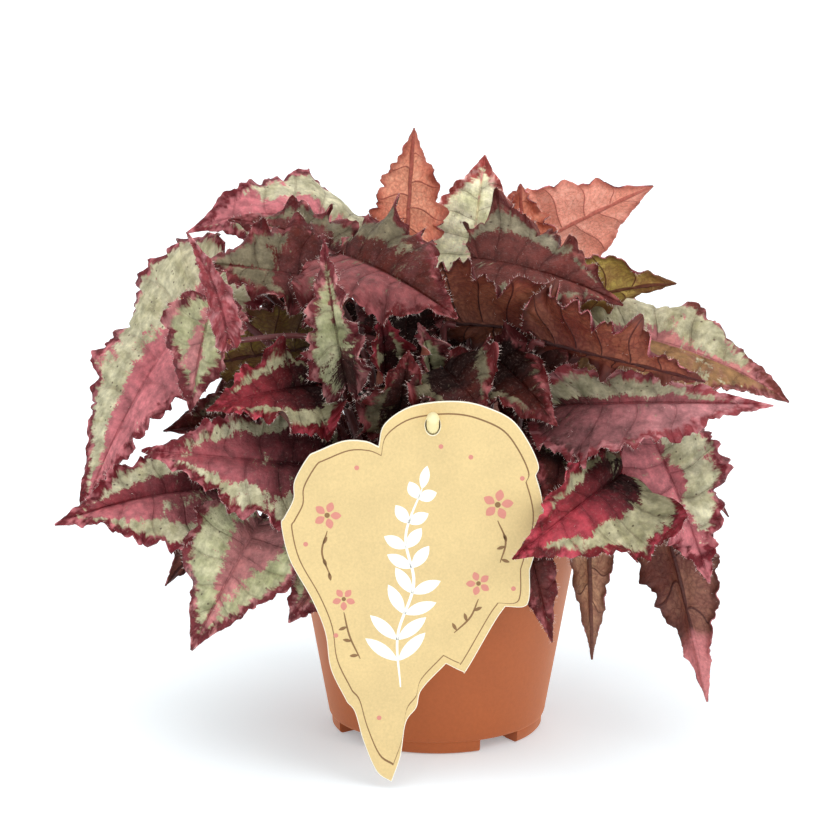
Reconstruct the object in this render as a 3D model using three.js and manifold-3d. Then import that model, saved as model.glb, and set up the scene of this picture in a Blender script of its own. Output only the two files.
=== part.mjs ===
// Rex begonia in a terracotta-coloured nursery pot with a leaf-shaped card tag on a stake.
// Millimetres, +Z up, the front of the plant looks to -Y.

import * as THREE from "three";
import { mergeVertices } from "three/addons/utils/BufferGeometryUtils.js";
import Module from "manifold-3d";

const wasm = await Module();
wasm.setup();

// Driving dimensions
const POT_HEIGHT = 105;
const POT_TOP_RADIUS = 61;
const POT_BASE_RADIUS = 42;
const POT_WALL = 1.5;
const RIM_HEIGHT = 12;
const FOOT_HEIGHT = 5;
const FOOT_GAP_DEGREES = 25;
const FOOT_GAP_CENTRE = 36;
const SOIL_TOP = 97;
const SOIL_GAP = 0.5;
const HOLE_DEPTH = 9;
const HOLE_CLEARANCE = 0.9;
const SEAT = 0.3;
const BLADE = 1.2;
const STALK_RADIUS = 1.8;
const STALK_CLEARANCE = 11;
const CARD_THICKNESS = 1;
const CARD_LEAN = 1.6;
const PEG_RADIUS = 2.3;

// Materials
const material = (color, roughness) =>
  new THREE.MeshStandardMaterial({ color, roughness, metalness: 0 });
const terracottaPlastic = () => material("#b5613f", 0.55);
const pottingSoil = () => material("#3b2a20", 0.95);
const kraftCard = () => material("#ecca90", 0.85);
const creamPlastic = () => material("#f2e3b0", 0.5);
const leafTissue = () => material("#8a4450", 0.7);

// Solids
function solid(geometry) {
  const bare = geometry.clone();
  bare.deleteAttribute("normal");
  bare.deleteAttribute("uv");
  const merged = mergeVertices(bare, 1e-4);
  return new wasm.Manifold(
    new wasm.Mesh({
      numProp: 3,
      vertProperties: merged.attributes.position.array,
      triVerts: new Uint32Array(merged.index.array),
    }),
  );
}

function meshOf(name, body, paint) {
  const raw = body.getMesh();
  const geometry = new THREE.BufferGeometry();
  geometry.setAttribute("position", new THREE.BufferAttribute(raw.vertProperties, 3));
  geometry.setIndex(new THREE.BufferAttribute(raw.triVerts, 1));
  const flat = geometry.toNonIndexed();
  flat.computeVertexNormals();
  const mesh = new THREE.Mesh(flat, paint);
  mesh.name = name;
  return mesh;
}

const v3 = (p) => new THREE.Vector3(...p);

// A turned body: the profile lists [radius, height] and goes from the axis back to the axis, or closes.
function turned(profile, segments) {
  const points = profile.map(([r, z]) => new THREE.Vector2(r, z));
  const geometry = new THREE.LatheGeometry(points, segments);
  geometry.rotateX(Math.PI / 2);
  return solid(geometry);
}

// A rod of even thickness along a smooth curve through the points.
function rod(points, radius, sides, steps) {
  const ring = new THREE.Shape();
  for (let i = 0; i < sides; i++) {
    const a = (i / sides) * 2 * Math.PI;
    if (i === 0) ring.moveTo(radius, 0);
    else ring.lineTo(radius * Math.cos(a), radius * Math.sin(a));
  }
  ring.closePath();
  const path = new THREE.CatmullRomCurve3(points.map(v3), false, "centripetal");
  return solid(new THREE.ExtrudeGeometry(ring, { extrudePath: path, steps }));
}

function upright(x, y, radius, bottom, top, sides) {
  const geometry = new THREE.CylinderGeometry(radius, radius, top - bottom, sides);
  geometry.rotateX(Math.PI / 2);
  geometry.translate(x, y, (top + bottom) / 2);
  return solid(geometry);
}

// Pot: thin wall, rim band, recessed floor on four feet, drain holes
function pot() {
  const inner = POT_TOP_RADIUS - POT_WALL;
  const bandFoot = POT_HEIGHT - RIM_HEIGHT;
  const wallTop = POT_TOP_RADIUS - 2.4;
  let body = turned(
    [
      [0, FOOT_HEIGHT],
      [34, FOOT_HEIGHT],
      [34, 0],
      [POT_BASE_RADIUS - 1.2, 0],
      [POT_BASE_RADIUS - 0.2, 1],
      [POT_BASE_RADIUS, FOOT_HEIGHT],
      [POT_BASE_RADIUS + 1, FOOT_HEIGHT + 0.8],
      [wallTop, bandFoot],
      [POT_TOP_RADIUS - 0.4, bandFoot + 0.6],
      [POT_TOP_RADIUS, POT_HEIGHT - 0.8],
      [POT_TOP_RADIUS - 0.5, POT_HEIGHT],
      [inner, POT_HEIGHT],
      [inner - 0.4, bandFoot + 1.5],
      [wallTop - POT_WALL, bandFoot - 1],
      [POT_BASE_RADIUS - 0.5, FOOT_HEIGHT + 2],
      [0, FOOT_HEIGHT + 2],
    ],
    32,
  );
  const chord = 2 * POT_BASE_RADIUS * Math.sin(((FOOT_GAP_DEGREES / 2) * Math.PI) / 180);
  for (let i = 0; i < 4; i++) {
    const a = ((FOOT_GAP_CENTRE + 90 * i) * Math.PI) / 180;
    const slot = new THREE.BoxGeometry(chord, 16, FOOT_HEIGHT + 1);
    slot.translate(0, -(POT_BASE_RADIUS - 2), (FOOT_HEIGHT + 1) / 2 - 1);
    slot.rotateZ(a);
    body = body.subtract(solid(slot));
    const drain = a + Math.PI / 4;
    body = body.subtract(upright(24 * Math.sin(drain), -24 * Math.cos(drain), 3.5, 0, 10, 10));
  }
  return body.subtract(upright(0, 0, 3.5, 0, 10, 10));
}

// Blade outline: how far along the midrib each row starts, and where it meets the edge
const OUTLINE = [
  // midrib, edge along, edge across, all from 0 to 1
  [0, 0, 0.08],
  [0.03, -0.07, 0.26],
  [0.065, -0.085, 0.52],
  [0.11, -0.035, 0.78],
  [0.165, 0.055, 0.94],
  [0.23, 0.16, 1],
  [0.3, 0.27, 0.97],
  [0.375, 0.38, 0.89],
  [0.455, 0.48, 0.78],
  [0.54, 0.58, 0.65],
  [0.63, 0.67, 0.5],
  [0.72, 0.755, 0.355],
  [0.81, 0.835, 0.22],
  [0.905, 0.915, 0.11],
  [1, 1, 0.03],
];

function outlineAt(t) {
  const place = t * (OUTLINE.length - 1);
  const row = Math.min(Math.floor(place), OUTLINE.length - 2);
  return OUTLINE[row].map((value, k) => value + (place - row) * (OUTLINE[row + 1][k] - value));
}

// The curve of the midrib and the way the blade faces along it
function spine(leaf) {
  const base = v3(leaf.base);
  const tip = v3(leaf.tip);
  const chord = tip.clone().sub(base);
  const forward = chord.clone().normalize();
  const face = v3(leaf.face);
  face.addScaledVector(forward, -face.dot(forward)).normalize();
  const side = forward.clone().cross(face);
  const middle = base.clone().addScaledVector(chord, 0.5);
  middle.addScaledVector(face, leaf.arch).addScaledVector(side, leaf.swerve ?? 0);
  const curve = new THREE.QuadraticBezierCurve3(base, middle, tip);
  const start = middle.clone().sub(base).multiplyScalar(2);
  const twist = ((leaf.twist ?? 0) * Math.PI) / 180;
  return (s) => {
    const inside = Math.max(s, 0);
    const along = curve.getTangent(inside);
    const point = curve.getPoint(inside).addScaledVector(start, Math.min(s, 0));
    const normal = face.clone().applyAxisAngle(forward, twist * inside);
    normal.addScaledVector(along, -normal.dot(along)).normalize();
    return { point, normal, across: along.clone().cross(normal) };
  };
}

// One point of the blade's middle surface: t runs from the stalk to the tip, v from left edge to right
function bladePoint(leaf, frameAt, t, v, tooth) {
  const [midrib, edgeAlong, edgeAcross] = outlineAt(t);
  const right = v > 0;
  const half = leaf.half[right ? 1 : 0];
  const reach = Math.max(edgeAcross * half * tooth, 0.8);
  const flat = Math.abs(v) * reach;
  const s = midrib + Math.abs(v) * (edgeAlong - midrib);
  const fold = (leaf.fold * Math.PI) / 180;
  const bend = ((leaf.curl[right ? 1 : 0] * Math.PI) / 180 + 1e-4) / half;
  const out = (Math.sin(fold) - Math.sin(fold - bend * flat)) / bend;
  const wave = Math.sin(2 * Math.PI * (leaf.waves * t + leaf.phase + (right ? 0.37 : 0)));
  const ruffle = leaf.ruffle * wave * Math.abs(v) ** 2.5 * Math.min(edgeAcross * 1.6, 1);
  const up = (Math.cos(fold - bend * flat) - Math.cos(fold)) / bend + ruffle;
  const { point, normal, across } = frameAt(s);
  return point.addScaledVector(across, right ? out : -out).addScaledVector(normal, up);
}

// A closed blade: two faces alike, split alike, and a wall round the edge
function blade(leaf, frameAt) {
  const rows = leaf.rows;
  const strips = 4;
  const middle = [];
  for (let i = 0; i <= rows; i++) {
    const tooth = i % 2 ? 1.07 : 0.93;
    const line = [];
    for (let j = 0; j <= strips; j++)
      line.push(bladePoint(leaf, frameAt, i / rows, (2 * j) / strips - 1, tooth));
    middle.push(line);
  }
  const corners = [];
  for (const offset of [BLADE / 2, -BLADE / 2])
    for (let i = 0; i <= rows; i++)
      for (let j = 0; j <= strips; j++) {
        const ahead = middle[Math.min(i + 1, rows)][j];
        const behind = middle[Math.max(i - 1, 0)][j];
        const rightward = middle[i][Math.min(j + 1, strips)];
        const leftward = middle[i][Math.max(j - 1, 0)];
        const normal = rightward.clone().sub(leftward).cross(ahead.clone().sub(behind));
        corners.push(middle[i][j].clone().addScaledVector(normal.normalize(), offset));
      }
  const top = (i, j) => i * (strips + 1) + j;
  const under = (i, j) => top(i, j) + (rows + 1) * (strips + 1);
  const index = [];
  for (let i = 0; i < rows; i++)
    for (let j = 0; j < strips; j++) {
      const ring = [[i, j], [i, j + 1], [i + 1, j + 1], [i + 1, j]];
      const turn = j < strips / 2 ? 0 : 1;
      const [a, b, c, d] = [0, 1, 2, 3].map((k) => ring[(k + turn) % 4]);
      for (const three of [[a, b, c], [a, c, d]]) {
        index.push(...three.map((p) => top(...p)));
        index.push(...three.map((p) => under(...p)).reverse());
      }
    }
  const edge = [];
  for (let j = 0; j < strips; j++) edge.push([0, j]);
  for (let i = 0; i < rows; i++) edge.push([i, strips]);
  for (let j = strips; j > 0; j--) edge.push([rows, j]);
  for (let i = rows; i > 0; i--) edge.push([i, 0]);
  edge.forEach((p, k) => {
    const q = edge[(k + 1) % edge.length];
    index.push(top(...q), top(...p), under(...p));
    index.push(top(...q), under(...p), under(...q));
  });
  const geometry = new THREE.BufferGeometry().setFromPoints(corners);
  geometry.setIndex(index);
  return solid(geometry.toNonIndexed());
}

const stalkRadius = (leaf) => (leaf.small ? STALK_RADIUS * 0.75 : STALK_RADIUS);

// A stalk from its hole in the soil up to the blade
function stalk(leaf, frameAt) {
  const radius = stalkRadius(leaf);
  const [x, y] = leaf.foot;
  const surface = new THREE.Vector3(x, y, SOIL_TOP + 5);
  const joint = frameAt(0);
  const low = joint.point.clone().addScaledVector(joint.normal, -radius * 0.9);
  const via = surface.clone().lerp(low, 0.55);
  via.z = Math.max(via.z + 0.12 * low.distanceTo(surface), POT_HEIGHT + STALK_CLEARANCE);
  const along = frameAt(0.05);
  const end = along.point.addScaledVector(along.normal, -radius * 0.9);
  const bend = leaf.via ? v3(leaf.via) : via;
  const foot = new THREE.Vector3(x, y, SOIL_TOP - HOLE_DEPTH + SEAT);
  return rod([foot, surface, bend, low, end].map((p) => p.toArray()), radius, 5, 6);
}

function leafBody(leaf) {
  const frameAt = spine(leaf);
  return blade(leaf, frameAt).add(stalk(leaf, frameAt));
}

// Leaves. Each entry holds: name, stalk foot in the soil, blade base, blade tip, the way the upper face looks,
// then [arch, swerve, twist], [left, right] half width, fold, [left, right] edge curl,
// [ruffle, waves, phase, rows], and for some a point the stalk passes
const LEAVES = [
  ["far_left", [-34, -6], [-81.3, -4, 185], [-138, -26, 88], [-0.62, -0.66, 0.42],
    [15, 0, 0], [26, 32], 16, [34, 30], [2.5, 3, 0.1, 12], [-50.5, -1, 157]],
  ["left_lowest", [-46, -18], [-80, -36, 105], [-144, -58, 97], [-0.1, -0.8, 0.56],
    [6, 4, 0], [29, 20], 26, [22, 30], [2.5, 3, 0.6, 12]],
  ["left_middle", [-30, -36], [-38, -50, 117], [-110, -67, 128], [-0.1, -0.76, 0.62],
    [0, 0, 0], [30, 24], 18, [24, 30], [2.5, 3, 0.7, 12]],
  ["left_dark", [-40, -8], [-48, -10, 126], [-106, -16, 123], [-0.1, -0.6, 0.8],
    [4, 0, 0], [18, 26], 14, [14, 14], [2, 3, 0.2, 12]],
  ["left_hanging", [-40, -28], [-66, -60, 100], [-92, -78, 54], [-0.2, -0.93, 0.3],
    [3, 0, 0], [24, 22], 18, [10, 14], [1.5, 3, 0.4, 12]],
  ["behind_card_left", [-17, -47], [-36, -68, 90], [-56, -69, 62], [-0.1, -0.95, 0.3],
    [2, 0, 0], [14, 14], 10, [10, 10], [1.5, 2, 0.5, 8], [-20, -59, 116]],
  ["left_under", [-48, 2], [-75, -10, 94], [-105, -34, 66], [-0.3, 0.8, 0.5],
    [2, 0, 0], [16, 16], 20, [20, 20], [2, 2, 0.6, 8]],
  ["left_spike", [-17, -29], [-78, -58, 168], [-92, -66, 210], [0.3, -0.9, 0.2],
    [2, 4, 0], [6, 6], 20, [0, 0], [1, 2, 0.1, 8], [-42, -40, 163]],
  ["left_small_green", [-26, -20], [-85, -36, 177], [-93, -48, 138], [-0.4, -0.9, 0.1],
    [3, 0, 0], [16, 15], 20, [20, 20], [2, 2, 0.3, 8]],
  ["left_arching", [-14, 12], [-33, 18, 190], [-97, 6, 197], [0, -0.6, 0.8],
    [26, 0, 0], [24, 31], 10, [40, 34], [2.5, 3, 0.5, 12]],
  ["left_frilled", [-20, -2], [-34, -8, 188], [-80, -12, 205], [-0.1, -0.6, 0.8],
    [10, 0, 0], [15, 18], 10, [40, 30], [3, 3, 0.1, 10]],
  ["left_flat", [-26, -13], [-42, -29, 184], [-91, -38, 193], [0, -0.78, 0.62],
    [6, 0, 0], [16, 22], 14, [20, 30], [2.5, 3, 0.8, 10], [-25, -29, 148]],
  ["left_olive", [-36, -12], [-46, -18, 157], [-97, -26, 149], [-0.1, 0.85, 0.5],
    [3, 0, 0], [22, 24], 18, [26, 26], [2, 3, 0.4, 12]],
  ["left_crimson", [-26, -31], [-45, -47, 148], [-86, -62, 142], [-0.1, -0.75, 0.66],
    [6, 0, 0], [22, 17], 20, [20, 30], [3, 3, 0.6, 12], [-35, -29, 136]],
  ["green_upright", [-15, -36], [-33.5, -65, 152], [-42, -58, 206], [-0.35, -0.9, 0.2],
    [4, 0, 0], [12, 11], 30, [10, 10], [1.5, 3, 0.2, 8]],
  ["centre_frill", [-10, -40], [-15, -52, 133], [-11, -62, 165], [0.1, -0.97, 0.2],
    [3, 0, 0], [13, 14], 20, [20, 20], [2.5, 3, 0.5, 8]],
  ["centre_large", [-8, -6], [-37, -28, 195], [7, -62, 177], [0.1, -0.75, 0.66],
    [8, 0, 0], [25, 26], 14, [14, 20], [2, 3, 0.3, 12], [-20, -6, 150]],
  ["top_spike", [-2, 12], [-12, 14, 193], [-9, 26, 235], [0, 0.97, 0.2],
    [2, 0, 0], [14, 14], 11, [14, 14], [1, 2, 0.4, 8]],
  ["top_green", [8, 16], [13, 22, 178], [19, 34, 223], [-0.1, -0.93, 0.35],
    [2, 0, 0], [24, 23], 16, [10, 10], [1.5, 3, 0.6, 10]],
  ["top_brown", [15, 10], [33.4, 24.3, 182.5], [33, 31.5, 212], [0.22, 0.9, 0.34],
    [2, 0, 0], [14, 13.6], 14, [14, 14], [1.5, 2, 0.15, 8]],
  ["top_right", [19, 21], [31, 40, 182], [85, 26, 212], [0.1, 0.93, 0.35],
    [3, 0, 0], [24, 22], 12, [10, 10], [1.5, 3, 0.5, 12]],
  ["right_silver", [12, -6], [13, -6, 189], [71, -18, 173], [0.2, -0.72, 0.66],
    [10, 0, 0], [24, 22], 14, [24, 24], [2.5, 3, 0.2, 12]],
  ["right_olive", [28, 4], [49, 0, 171], [92, -10, 180], [0.1, 0.86, 0.5],
    [3, 0, 0], [9, 19], 14, [16, 16], [1.5, 3, 0.3, 10]],
  ["right_veined", [5, -14], [3, -26, 168], [65, -44, 160], [0.1, 0.85, 0.5],
    [8, 0, 0], [11, 30], 10, [30, 30], [2.5, 3, 0.9, 12]],
  ["right_long", [28, -24], [37, -38, 164], [99, -62, 153], [0.1, 0.82, 0.56],
    [0, 0, 0], [8, 22], 16, [20, 20], [2, 3, 0.1, 12]],
  ["far_right", [36, -4], [59, 0, 160], [136, -14, 134], [0.15, -0.62, 0.77],
    [16, 0, 0], [24, 32], 18, [44, 50], [2, 3, 0.6, 12]],
  ["right_pink", [32, -34], [42, -46, 140], [125, -58, 143], [0.1, -0.74, 0.66],
    [4, 0, 0], [14, 24], 16, [24, 14], [2, 3, 0.3, 12]],
  ["right_red", [28, -42], [69, -54, 116], [27, -94, 94], [0.1, -0.92, 0.4],
    [10, 0, 0], [31, 15], 18, [20, 20], [2, 3, 0.4, 12]],
  ["right_hanging", [42, -20], [80, -36, 129], [103, -54, 73], [0.25, -0.92, 0.3],
    [6, 0, 0], [22, 21.5], 16, [14, 15], [1.6, 3, 0.72, 12]],
  ["right_lowest", [46, -10], [83, -20, 106], [104, -46, 23], [0.3, 0.9, 0.3],
    [5, 0, 0], [18, 18], 24, [30, 30], [1.5, 3, 0.2, 10]],
  ["right_narrow", [36, -32], [57, -46, 96], [59, -52, 42], [0.2, 0.95, 0.1],
    [2, 0, 0], [9, 9], 20, [10, 10], [1, 2, 0.1, 8]],
  ["front_dark", [16, -46], [32, -65, 97], [43, -68, 54], [0.1, -0.98, 0.1],
    [2, 0, 0], [9, 9], 14, [10, 10], [1, 2, 0.5, 8]],
  ["centre_dark", [16, -34], [20, -38, 158], [44, -70, 138], [0.1, -0.8, 0.6],
    [6, 0, 0], [13, 24], 14, [20, 20], [2, 3, 0.8, 10]],
  ["centre_low", [0, -38], [2, -60, 158], [17, -74, 143], [0.1, -0.8, 0.6],
    [3, 0, 0], [15, 14.5], 14, [20, 20], [2, 2, 0.3, 8]],
  ["young_red", [-8, -28], [-20, -42, 146], [-22, -48, 178], [0.5, -0.85, 0.2],
    [2, 0, 0], [13, 13], 30, [-20, -20], [1.5, 2, 0.3, 8]],
  ["young_pale", [3, -25], [-2.6, -47, 152.5], [-7.5, -52.4, 173.4], [0.42, -0.85, 0.3],
    [2.4, 0, 0], [7.4, 7], 32, [-26, -24], [1.1, 2, 0.57, 8]],
  ["inner_middle", [-6, -3], [-12, -12, 173], [-12, -32, 144], [0, -0.85, 0.5],
    [6, 0, 0], [11, 15], 14, [20, 20], [2, 3, 0.4, 8]],
  ["inner_right", [16, -14], [26, -8, 158], [57, -28, 138], [0.3, -0.75, 0.6],
    [4, 0, 0], [14, 15], 14, [20, 20], [2, 3, 0.6, 8]],
  ["back_right_low", [36, 22], [52, 32, 128], [104, 72, 64], [0.6, 0.45, 0.66],
    [10, 0, 0], [34, 34], 16, [20, 20], [2, 3, 0.1, 8]],
  ["back_low", [6, 44], [6, 58, 125], [12, 112, 58], [0, 0.8, 0.6],
    [10, 0, 0], [36, 36], 16, [20, 20], [2, 3, 0.4, 8]],
  ["back_left_low", [-32, 32], [-47, 46, 126], [-90, 90, 66], [-0.45, 0.6, 0.66],
    [10, 0, 0], [34, 34], 16, [20, 20], [2, 3, 0.7, 8]],
  ["side_left_low", [-43.5, 11.4], [-62, 10, 119], [-116, 28, 70], [-0.75, 0.2, 0.62],
    [8, 0, 0], [28, 28], 15, [20, 20], [2, 3, 0.2, 8]],
  ["side_right_low", [46, 8], [70, 6, 114], [124, 8, 76], [0.6, 0, 0.8],
    [8, 0, 0], [22, 22], 16, [20, 20], [2, 3, 0.5, 8]],
  ["back_right_high", [26, 24], [46, 26, 158], [96, 78, 130], [0.35, 0.35, 0.87],
    [12, 0, 0], [34, 34], 16, [24, 24], [2, 3, 0.8, 8]],
  ["back_high", [2, 28], [4, 40, 166], [0, 106, 128], [0, 0.5, 0.87],
    [12, 0, 0], [34, 34], 16, [24, 24], [2, 3, 0.3, 8]],
  ["back_left_high", [-22, 24], [-36, 29, 157], [-96, 62, 134], [-0.35, 0.35, 0.87],
    [12, 0, 0], [20, 33], 16, [24, 24], [2, 3, 0.6, 8]],
  ["crown_back", [-10, 20], [-14, 32, 186], [-46, 78, 168], [-0.2, 0.3, 0.93],
    [10, 0, 0], [26, 26], 16, [24, 24], [2, 3, 0.1, 8]],
  ["right_shadow", [34, -38], [48, -46, 130], [42, -68, 102], [0.1, -0.9, 0.4],
    [3, 0, 0], [14, 14], 16, [20, 20], [2, 3, 0.9, 8]],
  ["left_inner", [-30, 13.5], [-51.5, 14.2, 164], [-88, 17, 130], [-0.13, -0.93, 0.3],
    [2, 0, 0], [15, 16], 8, [12, 12], [1.5, 2, 0.5, 8]],
  ["inner_left", [-26, 4], [-30.5, 9, 168], [-27, 4.5, 106], [0.1, -0.9, 0.3],
    [5, 0, 0], [13, 14], 13, [20, 18], [2, 2, 0.4, 6]],
  ["inner_centre", [7, 6], [10, 12, 170], [12, 7, 106], [0.1, -0.9, 0.3],
    [5, 0, 0], [13.5, 13], 14, [20, 22], [2, 2, 0.45, 6]],
  ["inner_low", [25, 7], [33, 12, 150], [34, 6, 106], [0.1, -0.95, 0.2],
    [2, 0, 0], [11, 10], 12, [20, 20], [2, 2, 0.1, 6]],
];

function leafFrom([name, foot, base, tip, face, shape, half, fold, curl, wave, via]) {
  const [arch, swerve, twist] = shape;
  const [ruffle, waves, phase, rows] = wave;
  const small = Math.max(...half) < 15;
  const form = { face, arch, swerve, twist, half, fold, curl, ruffle, waves, phase, rows };
  return { name, foot, base, tip, via, small, ...form };
}

// Soil: a plug that fills the pot, with a plain hole for each stalk and for the stake
const STAKE_FOOT = [-2, -48];

function soil(leaves) {
  const floor = FOOT_HEIGHT + 2 + SOIL_GAP;
  let body = turned(
    [
      [0, floor],
      [POT_BASE_RADIUS - 1.4, floor],
      [POT_TOP_RADIUS - 5.2, 90],
      [POT_TOP_RADIUS - 3.6, SOIL_TOP - 1],
      [30, SOIL_TOP],
      [0, SOIL_TOP + 0.8],
    ],
    24,
  );
  const feet = leaves.map((leaf) => [...leaf.foot, stalkRadius(leaf) + SEAT + HOLE_CLEARANCE]);
  feet.push([...STAKE_FOOT, PEG_RADIUS + HOLE_CLEARANCE]);
  for (const [x, y, radius] of feet)
    body = body.subtract(upright(x, y, radius, SOIL_TOP - HOLE_DEPTH, SOIL_TOP + 4, 5));
  return body;
}

// Card tag: a lopsided leaf outline, hung by an oval hole on the bent stake
const CARD_HOLE = [-2, 140];
const CARD_Y = -76;
const CARD_EDGE = [
  // each run is a smooth line between two corners, [across, up] from the hole
  [[-20, -8], [-18, 0], [-10, 6.2], [0, 8.6], [11, 8.8], [20, 6.6], [29, 2], [35, -6], [39, -15], [38, -19]],
  [[38, -19], [40, -26], [41, -33], [40, -41], [36, -55]],
  [[36, -55], [36, -65], [34, -69], [27, -69]],
  [[27, -69], [23, -75], [13, -93], [11, -94], [5, -91]],
  [[5, -91], [-4, -101], [-6, -108], [-10, -114], [-12, -127], [-15.4, -137.2]],
  [[-15.4, -137.2], [-21, -133], [-26, -121], [-29, -110], [-32, -106]],
  [[-32, -106], [-38, -93], [-40, -79], [-45, -66], [-53, -51], [-56, -38], [-55, -35]],
  [[-55, -35], [-51.5, -28], [-51, -21], [-46, -12], [-43, -10]],
  [[-43, -10], [-33, -6], [-25, -6], [-20, -8]],
];

function card() {
  const corners = [];
  for (const run of CARD_EDGE) {
    const smooth = new THREE.SplineCurve(run.map(([x, z]) => new THREE.Vector2(x, z)));
    corners.push(...smooth.getPoints(run.length + 1).slice(1));
  }
  const outline = new THREE.Shape(corners);
  const hole = new THREE.Path();
  hole.absellipse(0, 0, PEG_RADIUS + 0.5, PEG_RADIUS + 1.5, 0, 2 * Math.PI, false);
  outline.holes.push(hole);
  const geometry = new THREE.ExtrudeGeometry(outline, {
    depth: CARD_THICKNESS,
    bevelEnabled: false,
    curveSegments: 7,
  });
  geometry.rotateX(Math.PI / 2);
  geometry.rotateX((-CARD_LEAN * Math.PI) / 180);
  geometry.translate(CARD_HOLE[0], CARD_Y + CARD_THICKNESS / 2, CARD_HOLE[1]);
  return solid(geometry);
}

function stake() {
  const [x, y] = STAKE_FOOT;
  const [holeX, holeZ] = CARD_HOLE;
  return rod(
    [
      [x, y, SOIL_TOP - HOLE_DEPTH + SEAT],
      [x, y, SOIL_TOP + 8],
      [x, y - 5, SOIL_TOP + 22],
      [x, y - 16, holeZ - 8],
      [holeX, CARD_Y, holeZ - 0.3],
      [holeX, CARD_Y - 7.5, holeZ + 5.2],
    ],
    PEG_RADIUS,
    8,
    14,
  );
}

const plant = new THREE.Group();
plant.name = "potted_begonia";
const leaves = LEAVES.map(leafFrom);
plant.add(meshOf("pot", pot(), terracottaPlastic()));
plant.add(meshOf("soil", soil(leaves), pottingSoil()));
plant.add(meshOf("tag_card", card(), kraftCard()));
plant.add(meshOf("tag_stake", stake(), creamPlastic()));
for (const leaf of leaves) plant.add(meshOf(`leaf_${leaf.name}`, leafBody(leaf), leafTissue()));

// The middle of the whole plant's footprint becomes the origin, on the ground
const reach = new THREE.Box3().setFromObject(plant);
for (const piece of plant.children)
  piece.geometry.translate(-(reach.min.x + reach.max.x) / 2, -(reach.min.y + reach.max.y) / 2, -reach.min.z);

export default plant;
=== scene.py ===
"""A rex begonia in a nursery pot with a card tag on a stake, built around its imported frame."""

import math
from collections import namedtuple

import bmesh
import bpy
import numpy as np
from mathutils import Matrix, Vector


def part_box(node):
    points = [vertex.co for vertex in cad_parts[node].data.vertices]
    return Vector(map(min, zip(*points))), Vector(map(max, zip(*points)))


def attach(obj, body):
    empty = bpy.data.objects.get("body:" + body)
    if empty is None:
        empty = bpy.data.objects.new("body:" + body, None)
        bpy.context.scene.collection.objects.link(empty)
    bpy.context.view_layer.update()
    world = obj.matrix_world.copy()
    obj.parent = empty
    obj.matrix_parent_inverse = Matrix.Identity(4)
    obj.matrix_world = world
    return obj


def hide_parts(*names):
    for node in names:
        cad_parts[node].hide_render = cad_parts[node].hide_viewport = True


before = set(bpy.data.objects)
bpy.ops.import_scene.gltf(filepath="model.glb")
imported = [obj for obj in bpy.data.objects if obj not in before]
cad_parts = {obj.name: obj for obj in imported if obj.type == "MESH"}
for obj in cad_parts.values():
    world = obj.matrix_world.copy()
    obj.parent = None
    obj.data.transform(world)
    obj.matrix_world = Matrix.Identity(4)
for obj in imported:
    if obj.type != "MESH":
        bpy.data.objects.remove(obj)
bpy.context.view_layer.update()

bl_info = {
    "name": "Potted Rex Begonia",
    "version": (1, 0, 0),
    "blender": (4, 5, 0),
    "location": "View3D > Sidebar > Begonia",
    "description": "Builds a rex begonia in a nursery pot with a card tag",
    "category": "Add Mesh",
}

MM = 0.001

# The pot's axis on the ground. Every place below is in millimetres from it.
POT_LOW, POT_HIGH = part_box("pot")
POT_AXIS = Vector(((POT_LOW.x + POT_HIGH.x) / 2, (POT_LOW.y + POT_HIGH.y) / 2, 0))

# A leaf's form: the stalk's foot, the blade's base and tip, the way its upper face looks, (arch, swerve,
# twist), (left, right) half width, fold, (left, right) edge curl, (ruffle, waves, phase), and for some leaves
# a point that the stalk passes
Form = namedtuple("Form", "foot base tip face curve halves fold curls ruffle via", defaults=(None,))

# A leaf's look: top livery, underside livery, left and right zone, (left, right) blush, darkness at the base,
# partly the leaf's own dark pigment and partly painted shade
Look = namedtuple("Look", "top under left right blush dark")

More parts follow.
